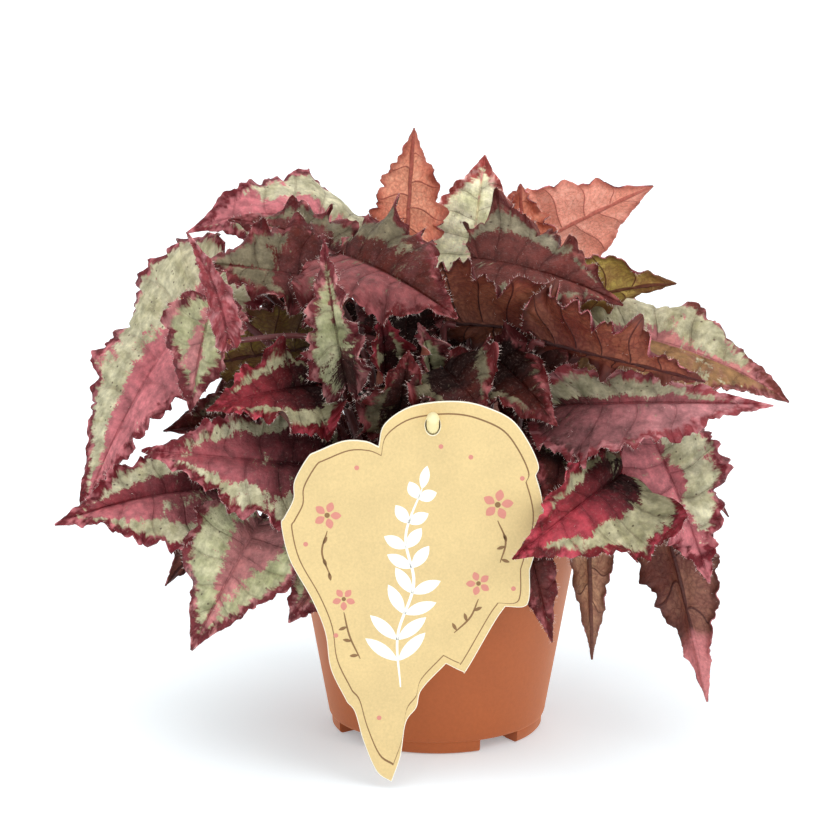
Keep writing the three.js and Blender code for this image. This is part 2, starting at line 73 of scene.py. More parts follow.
FORMS = {
    "far_left": Form(
        (-34, -6), (-81.3, -4, 185), (-138, -26, 88), (-0.62, -0.66, 0.42),
        (15, 0, 0), (26, 32), 16, (34, 30), (2.5, 3, 0.1), (-50.5, -1, 157),
    ),
    "left_lowest": Form(
        (-46, -18), (-80, -36, 105), (-144, -58, 97), (-0.1, -0.8, 0.56),
        (6, 4, 0), (29, 20), 26, (22, 30), (2.5, 3, 0.6),
    ),
    "left_middle": Form(
        (-30, -36), (-38, -50, 117), (-110, -67, 128), (-0.1, -0.76, 0.62),
        (0, 0, 0), (30, 24), 18, (24, 30), (2.5, 3, 0.7),
    ),
    "left_dark": Form(
        (-40, -8), (-48, -10, 126), (-106, -16, 123), (-0.1, -0.6, 0.8),
        (4, 0, 0), (18, 26), 14, (14, 14), (2, 3, 0.2),
    ),
    "left_hanging": Form(
        (-40, -28), (-66, -60, 100), (-92, -78, 54), (-0.2, -0.93, 0.3),
        (3, 0, 0), (24, 22), 18, (10, 14), (1.5, 3, 0.4),
    ),
    "behind_card_left": Form(
        (-17, -47), (-36, -68, 90), (-56, -69, 62), (-0.1, -0.95, 0.3),
        (2, 0, 0), (14, 14), 10, (10, 10), (1.5, 2, 0.5), (-20, -59, 116),
    ),
    "left_under": Form(
        (-48, 2), (-75, -10, 94), (-105, -34, 66), (-0.3, 0.8, 0.5),
        (2, 0, 0), (16, 16), 20, (20, 20), (2, 2, 0.6),
    ),
    "left_spike": Form(
        (-17, -29), (-78, -58, 168), (-92, -66, 210), (0.3, -0.9, 0.2),
        (2, 4, 0), (6, 6), 20, (0, 0), (1, 2, 0.1), (-42, -40, 163),
    ),
    "left_small_green": Form(
        (-26, -20), (-85, -36, 177), (-93, -48, 138), (-0.4, -0.9, 0.1),
        (3, 0, 0), (16, 15), 20, (20, 20), (2, 2, 0.3),
    ),
    "left_arching": Form(
        (-14, 12), (-33, 18, 190), (-97, 6, 197), (0, -0.6, 0.8),
        (26, 0, 0), (24, 31), 10, (40, 34), (2.5, 3, 0.5),
    ),
    "left_frilled": Form(
        (-20, -2), (-34, -8, 188), (-80, -12, 205), (-0.1, -0.6, 0.8),
        (10, 0, 0), (15, 18), 10, (40, 30), (3, 3, 0.1),
    ),
    "left_flat": Form(
        (-26, -13), (-42, -29, 184), (-91, -38, 193), (0, -0.78, 0.62),
        (6, 0, 0), (16, 22), 14, (20, 30), (2.5, 3, 0.8), (-25, -29, 148),
    ),
    "left_olive": Form(
        (-36, -12), (-46, -18, 157), (-97, -26, 149), (-0.1, 0.85, 0.5),
        (3, 0, 0), (22, 24), 18, (26, 26), (2, 3, 0.4),
    ),
    "left_crimson": Form(
        (-26, -31), (-45, -47, 148), (-86, -62, 142), (-0.1, -0.75, 0.66),
        (6, 0, 0), (22, 17), 20, (20, 30), (3, 3, 0.6), (-35, -29, 136),
    ),
    "green_upright": Form(
        (-15, -36), (-33.5, -65, 152), (-42, -58, 206), (-0.35, -0.9, 0.2),
        (4, 0, 0), (12, 11), 30, (10, 10), (1.5, 3, 0.2),
    ),
    "centre_frill": Form(
        (-10, -40), (-15, -52, 133), (-11, -62, 165), (0.1, -0.97, 0.2),
        (3, 0, 0), (13, 14), 20, (20, 20), (2.5, 3, 0.5),
    ),
    "centre_large": Form(
        (-8, -6), (-37, -28, 195), (7, -62, 177), (0.1, -0.75, 0.66),
        (8, 0, 0), (25, 26), 14, (14, 20), (2, 3, 0.3), (-20, -6, 150),
    ),
    "top_spike": Form(
        (-2, 12), (-12, 14, 193), (-9, 26, 235), (0, 0.97, 0.2),
        (2, 0, 0), (14, 14), 11, (14, 14), (1, 2, 0.4),
    ),
    "top_green": Form(
        (8, 16), (13, 22, 178), (19, 34, 223), (-0.1, -0.93, 0.35),
        (2, 0, 0), (24, 23), 16, (10, 10), (1.5, 3, 0.6),
    ),
    "top_brown": Form(
        (15, 10), (33.4, 24.3, 182.5), (33, 31.5, 212), (0.22, 0.9, 0.34),
        (2, 0, 0), (14, 13.6), 14, (14, 14), (1.5, 2, 0.15),
    ),
    "top_right": Form(
        (19, 21), (31, 40, 182), (85, 26, 212), (0.1, 0.93, 0.35),
        (3, 0, 0), (24, 22), 12, (10, 10), (1.5, 3, 0.5),
    ),
    "right_silver": Form(
        (12, -6), (13, -6, 189), (71, -18, 173), (0.2, -0.72, 0.66),
        (10, 0, 0), (24, 22), 14, (24, 24), (2.5, 3, 0.2),
    ),
    "right_olive": Form(
        (28, 4), (49, 0, 171), (92, -10, 180), (0.1, 0.86, 0.5),
        (3, 0, 0), (9, 19), 14, (16, 16), (1.5, 3, 0.3),
    ),
    "right_veined": Form(
        (5, -14), (3, -26, 168), (65, -44, 160), (0.1, 0.85, 0.5),
        (8, 0, 0), (11, 30), 10, (30, 30), (2.5, 3, 0.9),
    ),
    "right_long": Form(
        (28, -24), (37, -38, 164), (99, -62, 153), (0.1, 0.82, 0.56),
        (0, 0, 0), (8, 22), 16, (20, 20), (2, 3, 0.1),
    ),
    "far_right": Form(
        (36, -4), (59, 0, 160), (136, -14, 134), (0.15, -0.62, 0.77),
        (16, 0, 0), (24, 32), 18, (44, 50), (2, 3, 0.6),
    ),
    "right_pink": Form(
        (32, -34), (42, -46, 140), (125, -58, 143), (0.1, -0.74, 0.66),
        (4, 0, 0), (14, 24), 16, (24, 14), (2, 3, 0.3),
    ),
    "right_red": Form(
        (28, -42), (69, -54, 116), (27, -94, 94), (0.1, -0.92, 0.4),
        (10, 0, 0), (31, 15), 18, (20, 20), (2, 3, 0.4),
    ),
    "right_hanging": Form(
        (42, -20), (80, -36, 129), (103, -54, 73), (0.25, -0.92, 0.3),
        (6, 0, 0), (22, 21.5), 16, (14, 15), (1.6, 3, 0.72),
    ),
    "right_lowest": Form(
        (46, -10), (83, -20, 106), (104, -46, 23), (0.3, 0.9, 0.3),
        (5, 0, 0), (18, 18), 24, (30, 30), (1.5, 3, 0.2),
    ),
    "right_narrow": Form(
        (36, -32), (57, -46, 96), (59, -52, 42), (0.2, 0.95, 0.1),
        (2, 0, 0), (9, 9), 20, (10, 10), (1, 2, 0.1),
    ),
    "front_dark": Form(
        (16, -46), (32, -65, 97), (43, -68, 54), (0.1, -0.98, 0.1),
        (2, 0, 0), (9, 9), 14, (10, 10), (1, 2, 0.5),
    ),
    "centre_dark": Form(
        (16, -34), (20, -38, 158), (44, -70, 138), (0.1, -0.8, 0.6),
        (6, 0, 0), (13, 24), 14, (20, 20), (2, 3, 0.8),
    ),
    "centre_low": Form(
        (0, -38), (2, -60, 158), (17, -74, 143), (0.1, -0.8, 0.6),
        (3, 0, 0), (15, 14.5), 14, (20, 20), (2, 2, 0.3),
    ),
    "young_red": Form(
        (-8, -28), (-20, -42, 146), (-22, -48, 178), (0.5, -0.85, 0.2),
        (2, 0, 0), (13, 13), 30, (-20, -20), (1.5, 2, 0.3),
    ),
    "young_pale": Form(
        (3, -25), (-2.6, -47, 152.5), (-7.5, -52.4, 173.4), (0.42, -0.85, 0.3),
        (2.4, 0, 0), (7.4, 7), 32, (-26, -24), (1.1, 2, 0.57),
    ),
    "inner_middle": Form(
        (-6, -3), (-12, -12, 173), (-12, -36, 137), (0, -0.85, 0.5),
        (6, 0, 0), (11, 15), 14, (20, 20), (2, 3, 0.4),
    ),
    "inner_right": Form(
        (16, -14), (26, -8, 158), (57, -28, 138), (0.3, -0.75, 0.6),
        (4, 0, 0), (14, 15), 14, (20, 20), (2, 3, 0.6),
    ),
    "back_right_low": Form(
        (36, 22), (52, 32, 128), (104, 72, 64), (0.6, 0.45, 0.66),
        (10, 0, 0), (34, 34), 16, (20, 20), (2, 3, 0.1),
    ),
    "back_low": Form(
        (6, 44), (6, 58, 125), (12, 112, 58), (0, 0.8, 0.6),
        (10, 0, 0), (36, 36), 16, (20, 20), (2, 3, 0.4),
    ),
    "back_left_low": Form(
        (-32, 32), (-47, 46, 126), (-90, 90, 66), (-0.45, 0.6, 0.66),
        (10, 0, 0), (34, 34), 16, (20, 20), (2, 3, 0.7),
    ),
    "side_left_low": Form(
        (-43.5, 11.4), (-62, 10, 119), (-116, 28, 70), (-0.75, 0.2, 0.62),
        (8, 0, 0), (28, 28), 15, (20, 20), (2, 3, 0.2),
    ),
    "side_right_low": Form(
        (46, 8), (70, 6, 114), (116, 8, 82), (0.6, 0, 0.8),
        (8, 0, 0), (22, 22), 16, (20, 20), (2, 3, 0.5),
    ),
    "back_right_high": Form(
        (26, 24), (46, 26, 158), (96, 78, 130), (0.35, 0.35, 0.87),
        (12, 0, 0), (34, 34), 16, (24, 24), (2, 3, 0.8),
    ),
    "back_high": Form(
        (2, 28), (4, 40, 166), (0, 106, 128), (0, 0.5, 0.87),
        (12, 0, 0), (34, 34), 16, (24, 24), (2, 3, 0.3),
    ),
    "back_left_high": Form(
        (-22, 24), (-36, 29, 157), (-96, 62, 134), (-0.35, 0.35, 0.87),
        (12, 0, 0), (20, 33), 16, (24, 24), (2, 3, 0.6),
    ),
    "crown_back": Form(
        (-10, 20), (-14, 32, 186), (-46, 78, 168), (-0.2, 0.3, 0.93),
        (10, 0, 0), (26, 26), 16, (24, 24), (2, 3, 0.1),
    ),
    "right_shadow": Form(
        (34, -38), (48, -46, 130), (42, -68, 102), (0.1, -0.9, 0.4),
        (3, 0, 0), (14, 14), 16, (20, 20), (2, 3, 0.9),
    ),
    "left_inner": Form(
        (-30, 13.5), (-51.5, 14.2, 164), (-88, 17, 130), (-0.13, -0.93, 0.3),
        (2, 0, 0), (15, 16), 8, (12, 12), (1.5, 2, 0.5),
    ),
    "inner_left": Form(
        (-26, 4), (-30.5, 9, 168), (-27, 4.5, 106), (0.1, -0.9, 0.3),
        (5, 0, 0), (13, 14), 13, (20, 18), (2, 2, 0.4),
    ),
    "inner_centre": Form(
        (7, 6), (10, 12, 170), (12, 7, 106), (0.1, -0.9, 0.3),
        (5, 0, 0), (13.5, 13), 14, (20, 22), (2, 2, 0.45),
    ),
    "inner_low": Form(
        (25, 7), (33, 12, 150), (34, 6, 106), (0.1, -0.95, 0.2),
        (2, 0, 0), (11, 10), 12, (20, 20), (2, 2, 0.1),
    ),
}

# Zones of the silver band on one half of a blade: where it starts across the half, how far that start
# drifts out towards the tip, and where along the blade the band begins and ends.
WIDE = (0.2, 0.25, -0.05, 0.84)
FULL = (0.02, 0.05, -0.1, 0.97)
BAND = (0.4, 0.1, 0.0, 0.84)
HEM = (0.58, 0.0, 0.05, 0.92)
TIPPED = (0.05, 0.0, 0.52, 0.96)
BARE = (2.0, 0.0, 0.0, 1.0)

LOOKS = {
    "far_left": Look("rose", "brown", (0.05, 0.0, -0.1, 0.36), (0.12, 0.25, -0.1, 0.97), (1.0, 0.9), 0.1),
    "left_lowest": Look("rose", "brown", HEM, (0.45, 0.0, 0.4, 0.86), (0.65, 0.0), 0.8),
    "left_middle": Look("rose", "brown", HEM, HEM, (0.35, 0.3), 0.9),
    "left_dark": Look("maroon", "brown", BAND, BAND, (0.0, 0.0), 0.6),
    "left_hanging": Look("green", "brown", (0.75, -0.5, 0.05, 1.05), (0.35, -0.3, 0, 1.05), (0.7, 0.6), 0.4),
    "behind_card_left": Look("green", "brown", WIDE, WIDE, (0.0, 0.0), 0.5),
    "left_under": Look("rose", "brown", BAND, BAND, (0.2, 0.2), 0.3),
    "left_spike": Look("plain", "orange", BARE, BARE, (0.0, 0.0), 0.1),
    "left_small_green": Look("green", "orange", FULL, WIDE, (0.8, 0.9), 0.1),
    "left_arching": Look("rose", "orange", HEM, (0.3, 0.0, -0.1, 0.66), (0.9, 1.0), 0.0),
    "left_frilled": Look("maroon", "brown", HEM, BAND, (0.6, 0.2), 0.3),
    "left_flat": Look("maroon", "brown", TIPPED, TIPPED, (0.3, 0.2), 0.5),
    "left_olive": Look("maroon", "olive", BAND, BAND, (0.0, 0.0), 0.5),
    "left_crimson": Look("crimson", "brown", HEM, HEM, (0.3, 0.3), 0.8),
    "green_upright": Look("green", "olive", (0.0, 0.0, 0.36, 1.1), (0.0, 0.0, 0.46, 1.1), (0.0, 0.0), 1.0),
    "centre_frill": Look("maroon", "olive", HEM, HEM, (0.4, 0.3), 0.4),
    "centre_large": Look("maroon", "brown", (0.5, 0.0, -0.1, 0.5), BARE, (0.0, 0.8), 0.2),
    "top_spike": Look("rose", "orange", BARE, BARE, (0.0, 0.0), 0.0),
    "top_green": Look("pale", "orange", FULL, FULL, (0.8, 0.9), 0.0),
    "top_brown": Look("rose", "orange", BAND, BAND, (0.3, 0.3), 0.0),
    "top_right": Look("rose", "salmon", BAND, BAND, (0.3, 0.3), 0.0),
    "right_silver": Look("grey", "brown", HEM, HEM, (0.2, 0.35), 0.2),
    "right_olive": Look("rose", "amber", BAND, BAND, (0.3, 0.3), 0.0),
    "right_veined": Look("maroon", "red", BAND, BAND, (0.3, 0.3), 0.2),
    "right_long": Look("rose", "red", HEM, BAND, (0.3, 0.3), 0.25),
    "far_right": Look("turned", "olive", (0.15, 0.1, 0.05, 0.74), BARE, (1.0, 0.0), 0.1),
    "right_pink": Look("plain", "brown", (0.12, 0.2, 0.04, 0.86), BARE, (0.1, 0.95), 0.45),
    "right_red": Look("crimson", "brown", BAND, HEM, (0.6, 0.25), 1.0),
    "right_hanging": Look("rose", "brown", (0.12, 0.05, 0.0, 0.8), BARE, (0.5, 1.0), 0.0),
    "right_lowest": Look("rose", "umber", BARE, BARE, (0.9, 0.9), 0.0),
    "right_narrow": Look("green", "tan", WIDE, WIDE, (0.3, 0.3), 0.0),
    "front_dark": Look("maroon", "brown", BARE, BARE, (0.1, 0.1), 0.4),
    "centre_dark": Look("maroon", "brown", BARE, HEM, (0.0, 0.0), 0.8),
    "centre_low": Look("maroon", "brown", HEM, HEM, (0.2, 0.2), 0.7),
    "young_red": Look("crimson", "orange", HEM, HEM, (0.5, 0.5), 0.2),
    "young_pale": Look("green", "orange", FULL, FULL, (0.6, 0.6), 0.2),
    "inner_middle": Look("maroon", "olive", BARE, BARE, (0.0, 0.0), 0.9),
    "inner_right": Look("maroon", "brown", BARE, BARE, (0.0, 0.0), 0.9),
    "back_right_low": Look("rose", "brown", BAND, WIDE, (0.5, 0.6), 0.3),
    "back_low": Look("green", "brown", WIDE, BAND, (0.5, 0.4), 0.4),
    "back_left_low": Look("crimson", "brown", BAND, HEM, (0.4, 0.5), 0.5),
    "side_left_low": Look("rose", "brown", WIDE, BAND, (0.6, 0.4), 0.3),
    "side_right_low": Look("maroon", "brown", BAND, WIDE, (0.4, 0.3), 0.4),
    "back_right_high": Look("maroon", "orange", BAND, HEM, (0.4, 0.2), 0.3),
    "back_high": Look("rose", "orange", WIDE, WIDE, (0.6, 0.6), 0.2),
    "back_left_high": Look("rose", "orange", HEM, BAND, (0.3, 0.5), 0.3),
    "crown_back": Look("green", "orange", BAND, WIDE, (0.7, 0.5), 0.1),
    "right_shadow": Look("maroon", "brown", BARE, BARE, (0.0, 0.0), 0.9),
    "left_inner": Look("maroon", "brown", BARE, BARE, (0.0, 0.0), 0.7),
    "inner_left": Look("maroon", "brown", BARE, BARE, (0.0, 0.0), 1.0),
    "inner_centre": Look("maroon", "brown", BARE, BARE, (0.0, 0.0), 1.0),
    "inner_low": Look("maroon", "brown", BARE, BARE, (0.0, 0.0), 1.0),
}

# Middle of the plant, where every blade is painted darker as the shade of the leaves around it, and how far
# that painted shade reaches
SHADE_CENTRE = (4, -36, 148)
SHADE_REACH = (62, 50, 32)

# Blades whose edges are tightly crimped, all near the crown, and how much more their teeth bend and frill
CRIMPED = {
    "left_frilled", "left_flat", "left_crimson", "left_middle", "left_lowest", "centre_large", "centre_frill",
    "centre_low", "centre_dark", "green_upright", "young_red", "young_pale", "right_silver", "right_veined",
    "right_long", "right_hanging", "top_brown",
}
CRIMPED_TEETH = 2.8
CRIMPED_FRILL = 1.4

# Blades with almost smooth edges, and how deep their teeth still are
CALM = {
    "left_spike", "right_narrow", "right_lowest", "front_dark", "left_hanging", "top_right", "right_olive",
    "inner_middle", "inner_right", "inner_left", "inner_centre", "inner_low",
}
CALM_TEETH = 0.45

# Blades a little fuller than their solids, which close the middle of the plant
FULLER = {
    "inner_middle", "inner_right", "inner_left", "inner_centre", "inner_low", "centre_frill", "centre_low",
    "young_pale",
}
FULLER_BY = 1.25

# The one blade that lies before the card, and the starts of the names of those that the front hides
BEFORE_CARD = "right_red"
HIDDEN = ("back", "side", "inner", "crown")

# Space that all other blades keep clear for the card: its middle across, half its width and its top, and how
# far they stay behind the card's back
CARD_SPACE = (-9, 52, 152)
CARD_GAP = 0.8

# Spacing of the lobes and of the teeth along the edge, and half the width of a midrib
LOBE_SPACING = 13
TOOTH_SPACING = 4.4
RIB_WIDTH = 1.0

# How finely a blade is drawn along its midrib: rows in a millimetre, fewest and most, and a hidden one's rows
ROWS_IN_MM = 1.75
ROWS = (90, 220)
HIDDEN_ROWS = 100

# Seeds of the random draws: the first blade's, which the others count on from, and the soil's
BLADE_SEED = 40
SOIL_SEED = 7

# Outline of a blade, in shares of its length and half width: how far along the midrib a row starts, how far
# along it meets the edge, and how far across
OUTLINE = np.array(
    [
        (0, 0, 0.08),
        (0.03, -0.07, 0.26),
        (0.065, -0.085, 0.52),
        (0.11, -0.035, 0.78),
        (0.165, 0.055, 0.94),
        (0.23, 0.16, 1),
        (0.3, 0.27, 0.97),
        (0.375, 0.38, 0.89),
        (0.455, 0.48, 0.78),
        (0.54, 0.58, 0.65),
        (0.63, 0.67, 0.5),
        (0.72, 0.755, 0.355),
        (0.81, 0.835, 0.22),
        (0.905, 0.915, 0.11),
        (1, 1, 0.01),
    ]
)

# Card: runs of a smooth line between two corners, (across, up) in millimetres from the peg hole
CARD_EDGE = (
    (
        (-20, -8), (-18, 0), (-10, 6.2), (0, 8.6), (11, 8.8), (20, 6.6), (29, 2), (35, -6), (39, -15),
        (38, -19),
    ),
    ((38, -19), (40, -26), (41, -33), (40, -41), (36, -55)),
    ((36, -55), (36, -65), (34, -69), (27, -69)),
    ((27, -69), (23, -75), (13, -93), (11, -94), (5, -91)),
    ((5, -91), (-4, -101), (-6, -108), (-10, -114), (-12, -127), (-15.4, -137.2)),
    ((-15.4, -137.2), (-21, -133), (-26, -121), (-29, -110), (-32, -106)),
    ((-32, -106), (-38, -93), (-40, -79), (-45, -66), (-53, -51), (-56, -38), (-55, -35)),
    ((-55, -35), (-51.5, -28), (-51, -21), (-46, -12), (-43, -10)),
    ((-43, -10), (-33, -6), (-25, -6), (-20, -8)),
)
CARD_HOLE = Vector((-2, -75.5, 140))
CARD_LEAN = math.radians(1.6)
CARD_THICK = 1.0
CARD_BEVEL = 0.3
PEG_HOLE = (2.8, 3.8)

# Print on the card, in the same (across, up) places: the middle that the frame line lies around, its outer
# and inner edge as shares of the card's size, and the sprig, the blossoms with their sizes, twigs and berries
CARD_MIDDLE = np.array((-7, -50))
FRAME_LINE = (0.925, 0.915)
SPRIG = ((-12, -100), (-13, -80), (-7, -60), (-10, -42), (-4, -24))
BLOSSOMS = (((24, -30), 1.0), ((-39, -34), 0.9), ((17, -60), 0.8), ((-33, -66), 0.75))
TWIGS = (
    ((24, -36), (27, -44), (25, -52)),
    ((-39, -40), (-41, -48), (-38, -57)),
    ((17, -66), (14, -73), (8, -79)),
    ((-33, -71), (-31, -80), (-27, -89)),
)
BERRIES = (
    (33, -20), (36, -44), (30, -62), (3, -8), (14, -12), (-28, -16), (-47, -45), (-36, -80), (-20, -112),
)

# Stake: its middle line from the soil to the tip of its peg, its radius and the points it is drawn through
STAKE_LINE = (
    (-2, -48, 89), (-2, -48, 105), (-2, -53, 119), (-2, -64, 132), (-2, -76, 139.7), (-2, -83.5, 145.2),
)
STAKE_RADIUS = 2.3
STAKE_STEPS = 60

# Pot: its profile as (radius, height), from the axis under the floor to the wall, and from the rim band round
# the lip and back inside to the axis
POT_FOOT = (
    (0, 5), (33.4, 5), (34, 4.6), (34, 0.6), (34.4, 0.1), (35, 0), (40.4, 0), (41.2, 0.3), (41.8, 1),
    (42, 4.7), (42.3, 5), (42.7, 5.2), (43, 5.8), (43.2, 6.6),
)
WALL_TOP = (58.5, 92.6)
WALL_STEPS = 12
POT_RIM = (
    (58.7, 93), (59.2, 93.2), (60.2, 93.3), (60.5, 93.5), (60.6, 94), (60.7, 98), (60.9, 103.6),
    (60.9, 104.3), (60.7, 104.8), (60.3, 105), (59.9, 104.9), (59.6, 104.5), (59.5, 104),
    (59.1, 95), (58.8, 94.4), (57.4, 92.6), (57.1, 92), (41.6, 8), (41, 7.2), (40, 7), (0, 7),
)

# Gaps between the pot's four feet: the first one's place in degrees and their width, 25 degrees of the foot
# ring. The drain holes lie halfway between them, and one in the middle.
FIRST_GAP = 36
GAP_WIDTH = 2 * 42 * math.sin(math.radians(12.5))
DRAIN_RING = 24
DRAIN_RADIUS = 3.5

# Soil: its profile up to the pot's rim band, its surface, the heaves of that as (length, height), and the
# number, radius and heights of its crumbs
SOIL_SIDE = ((0, 7.6), (40.2, 7.6), (41.2, 9), (56.4, 91), (56.9, 94.5))
SOIL_TOP = 97.2
HEAVES = ((22, 0.9), (9, 0.6), (4, 0.45), (2, 0.3))
CRUMBS = 1500
CRUMB_RADIUS = 1.1
CRUMB_HEIGHTS = (96.9, 98.1)

# Stalks: the heights of their feet, of the place above the soil where they start to bend and of the lowest
# middle, and the number of points they are drawn through
STALK_FOOT = 90.0
STALK_BEND = 102.0
STALK_MIDDLE = 116
STALK_STEPS = 36

# Camera: its place in millimetres, how many degrees it looks down, and its lens
CAMERA_PLACE = (-6.7, -1200, 413)
CAMERA_TILT = 13.56
CAMERA_LENS = 135

# Lamps: name, place in metres, size and power
LAMPS = (
    ("Softbox front right", (0.9, -1.0, 0.9), 0.7, 5.0),
    ("Softbox back", (0.1, 1.2, 1.2), 1.0, 3.0),
)
LAMP_AIM = Vector((0, 0, 0.12))

# Colours of the upper side, as sRGB: heart, its dark base, which is also the colour of the painted shade, the
# silver band and its shade, margin, blush
TOPS = {
    "rose": ("#8c454a", "#35171a", "#d0caac", "#a8a282", "#6c292f", "#cf8287"),
    "plain": ("#a55c60", "#40201f", "#b0a78e", "#8f896e", "#894246", "#cf9093"),
    "turned": ("#957251", "#4a2a22", "#c9c3a5", "#a19a7a", "#6e3a34", "#c98486"),
    "crimson": ("#792d31", "#2c1212", "#beb797", "#989271", "#6a2428", "#c65b66"),
    "maroon": ("#54241e", "#26100d", "#857b64", "#625946", "#5c2425", "#aa6567"),
    "green": ("#8c5552", "#432926", "#c2be9c", "#9c9c76", "#6b3135", "#cf8f8f"),
    "pale": ("#cf8f88", "#74483f", "#eee8cb", "#ccc9a2", "#9c504c", "#f0c0b8"),
    "grey": ("#5e2d29", "#2e1713", "#968d77", "#6c6350", "#5c2a28", "#a0605a"),
}
TOP_PARTS = ("heart", "deep", "band", "band_shade", "margin", "blush")

# Colours of the underside, as sRGB: flesh, flesh between the veins, veins. Salmon and amber are lighter
# copies of orange and olive, and orange is lighter than the other undersides: partly their own colour, partly
# painted light for the light that shines through these sides.
UNDERS = {
    "orange": ("#c26f56", "#d9987c", "#8f4339"),
    "salmon": ("#e0917c", "#efae9b", "#ad5c50"),
    "amber": ("#9b7540", "#c9b25c", "#5a2621"),
    "tan": ("#8f5b49", "#bb8f6e", "#552c26"),
    "umber": ("#75433a", "#9e6d58", "#4a2422"),
    "olive": ("#755130", "#ad9a48", "#47191a"),
    "brown": ("#76433a", "#996a58", "#3c1c1a"),
    "red": ("#863c2f", "#b26c50", "#421719"),
}
UNDER_PARTS = ("flesh", "between", "vein")

# Undersides that turn rosy towards the tip: where, in millimetres along the blade, and in what colour
ROSY_TIPS = {"umber": (70, "#cf7f80")}

# Sides that glow a little, painted light for the light that shines through them, and how strongly
PAINTED_GLOW = {
    "orange": 0.14, "salmon": 0.26, "amber": 0.12, "tan": 0.12, "pale": 0.15, "olive": 0.07, "red": 0.04,
}


def linear(hex_colour):
    """Turns an sRGB hex colour into the linear RGBA that a shader socket takes."""
    channels = [int(hex_colour[i : i + 2], 16) / 255 for i in (1, 3, 5)]
    return (*(c / 12.92 if c <= 0.04045 else ((c + 0.055) / 1.055) ** 2.4 for c in channels), 1.0)


def add(tree, kind, links=None, **settings):
    """Adds a node with its settings. links maps an input's name or number to a value, a socket or a node."""
    node = tree.nodes.new(kind)
    for name, value in settings.items():
        setattr(node, name, value)
    shown = [s for s in node.inputs if s.enabled]
    for key, value in (links or {}).items():
        socket = shown[key] if isinstance(key, int) else next(s for s in shown if s.name == key)
        if isinstance(value, bpy.types.Node):
            value = next(s for s in value.outputs if s.enabled)
        if isinstance(value, bpy.types.NodeSocket):
            tree.links.new(value, socket)
        else:
            socket.default_value = value
    return node


# Properties


class BegoniaSizes(bpy.types.PropertyGroup):
    """Sizes of the plant that a user may change."""

    __annotations__ = {
        key: bpy.props.FloatProperty(name=name, description=description, default=default, subtype=subtype)
        for key, name, description, default, subtype in (
            ("blade", "Blade Thickness", "Thickness of a leaf blade", 0.0005, "DISTANCE"),
            ("lobes", "Lobe Depth", "Depth of the edge lobes as a share of the half width", 0.15, "FACTOR"),
            ("tooth_depth", "Tooth Depth", "Depth of the teeth between the lobes", 0.0035, "DISTANCE"),
            ("crimp", "Crimp", "How far single teeth bend up and down", 0.0015, "DISTANCE"),
            ("frill", "Frill", "How far the edge waves up and down", 0.0032, "DISTANCE"),
            ("quilting", "Quilting", "How far the blade swells between its veins", 0.0013, "DISTANCE"),
            ("stalk", "Stalk Radius", "Radius of a stalk at its foot", 0.0018, "DISTANCE"),
            ("bristle_length", "Bristle Length", "Length of the fine hairs", 0.0018, "DISTANCE"),
            ("bristle_radius", "Bristle Radius", "Radius of a hair at its root", 0.00008, "DISTANCE"),
        )
    }


class BegoniaColours(bpy.types.PropertyGroup):
    """Colours of the leaves, the pot and the tag."""

    __annotations__ = {
        f"{livery}_{part}": bpy.props.FloatVectorProperty(
            name=f"{livery} {part}".replace("_", " ").title(),
            description=f"Colour of the {part.replace('_', ' ')} of the {livery} leaves",
            subtype="COLOR", size=4, default=linear(value),
        )
        for group, parts in ((TOPS, TOP_PARTS), (UNDERS, UNDER_PARTS))
        for livery, values in group.items()
        for part, value in zip(parts, values)
    } | {
        part: bpy.props.FloatVectorProperty(
            name=part.replace("_", " ").title(), description=f"Colour of the {part.replace('_', ' ')}",
            subtype="COLOR", size=4, default=linear(value),
        )
        for part, value in {
            "pot": "#ae5c31",
            "soil": "#35271e",
            "card": "#ddc28b",
            "card_edge": "#fbf3df",
            "stake": "#f3e6b2",
            "stalk": "#5e2c2c",
            "bristle": "#e6cfc6",
            "white_ink": "#fffdf4",
            "brown_ink": "#8a6844",
            "rose_ink": "#d48a7c",
        }.items()
    }


# Meshes


def in_frame(points):
    """Points in millimetres from the pot's axis, in the frame's metres."""
    return np.asarray(points, float) * MM + np.array(POT_AXIS)


def plain_object(name, mesh, materials=()):
    """A new object at the origin that shows a mesh with its materials."""
    for material in materials:
        mesh.materials.append(material)
    piece = bpy.data.objects.new(name, mesh)
    bpy.context.scene.collection.objects.link(piece)
    return piece


def mesh_from(name, points, edges=(), faces=()):
    """A smooth mesh from points in millimetres from the pot's axis."""
    mesh = bpy.data.meshes.new(name)
    mesh.from_pydata(in_frame(points).tolist(), list(edges), [tuple(f) for f in faces])
    mesh.polygons.foreach_set("use_smooth", np.full(len(mesh.polygons), True))
    return mesh


def mesh_from_bmesh(name, made):
    """A mesh from a bmesh, which is freed."""
    mesh = bpy.data.meshes.new(name)
    made.to_mesh(mesh)
    made.free()
    return mesh


def add_attribute(mesh, label, kind, domain, values):
    """Gives a mesh an attribute with its values."""
    layer = mesh.attributes.new(label, kind, domain)
    layer.data.foreach_set("vector" if kind == "FLOAT_VECTOR" else "value", np.asarray(values, float).ravel())


def settled(name, holder):
    """The plain mesh that an object's modifiers make of it. The object is removed."""
    graph = bpy.context.evaluated_depsgraph_get()
    mesh = bpy.data.meshes.new_from_object(holder.evaluated_get(graph))
    bpy.data.objects.remove(holder)
    if not len(mesh.polygons):
        raise RuntimeError(f"{name} came out empty")
    mesh.name = name
    return mesh


def mesh_of(name, source, tree, **inputs):
    """Runs a geometry tree over a source mesh and returns the result as a plain mesh."""
    holder = plain_object(name, source)
    modifier = holder.modifiers.new(name, "NODES")
    modifier.node_group = tree
    known = {s.name: s.identifier for s in tree.interface.items_tree if s.in_out == "INPUT"}
    for key, value in inputs.items():
        modifier[known[key]] = value
    return settled(name, holder)


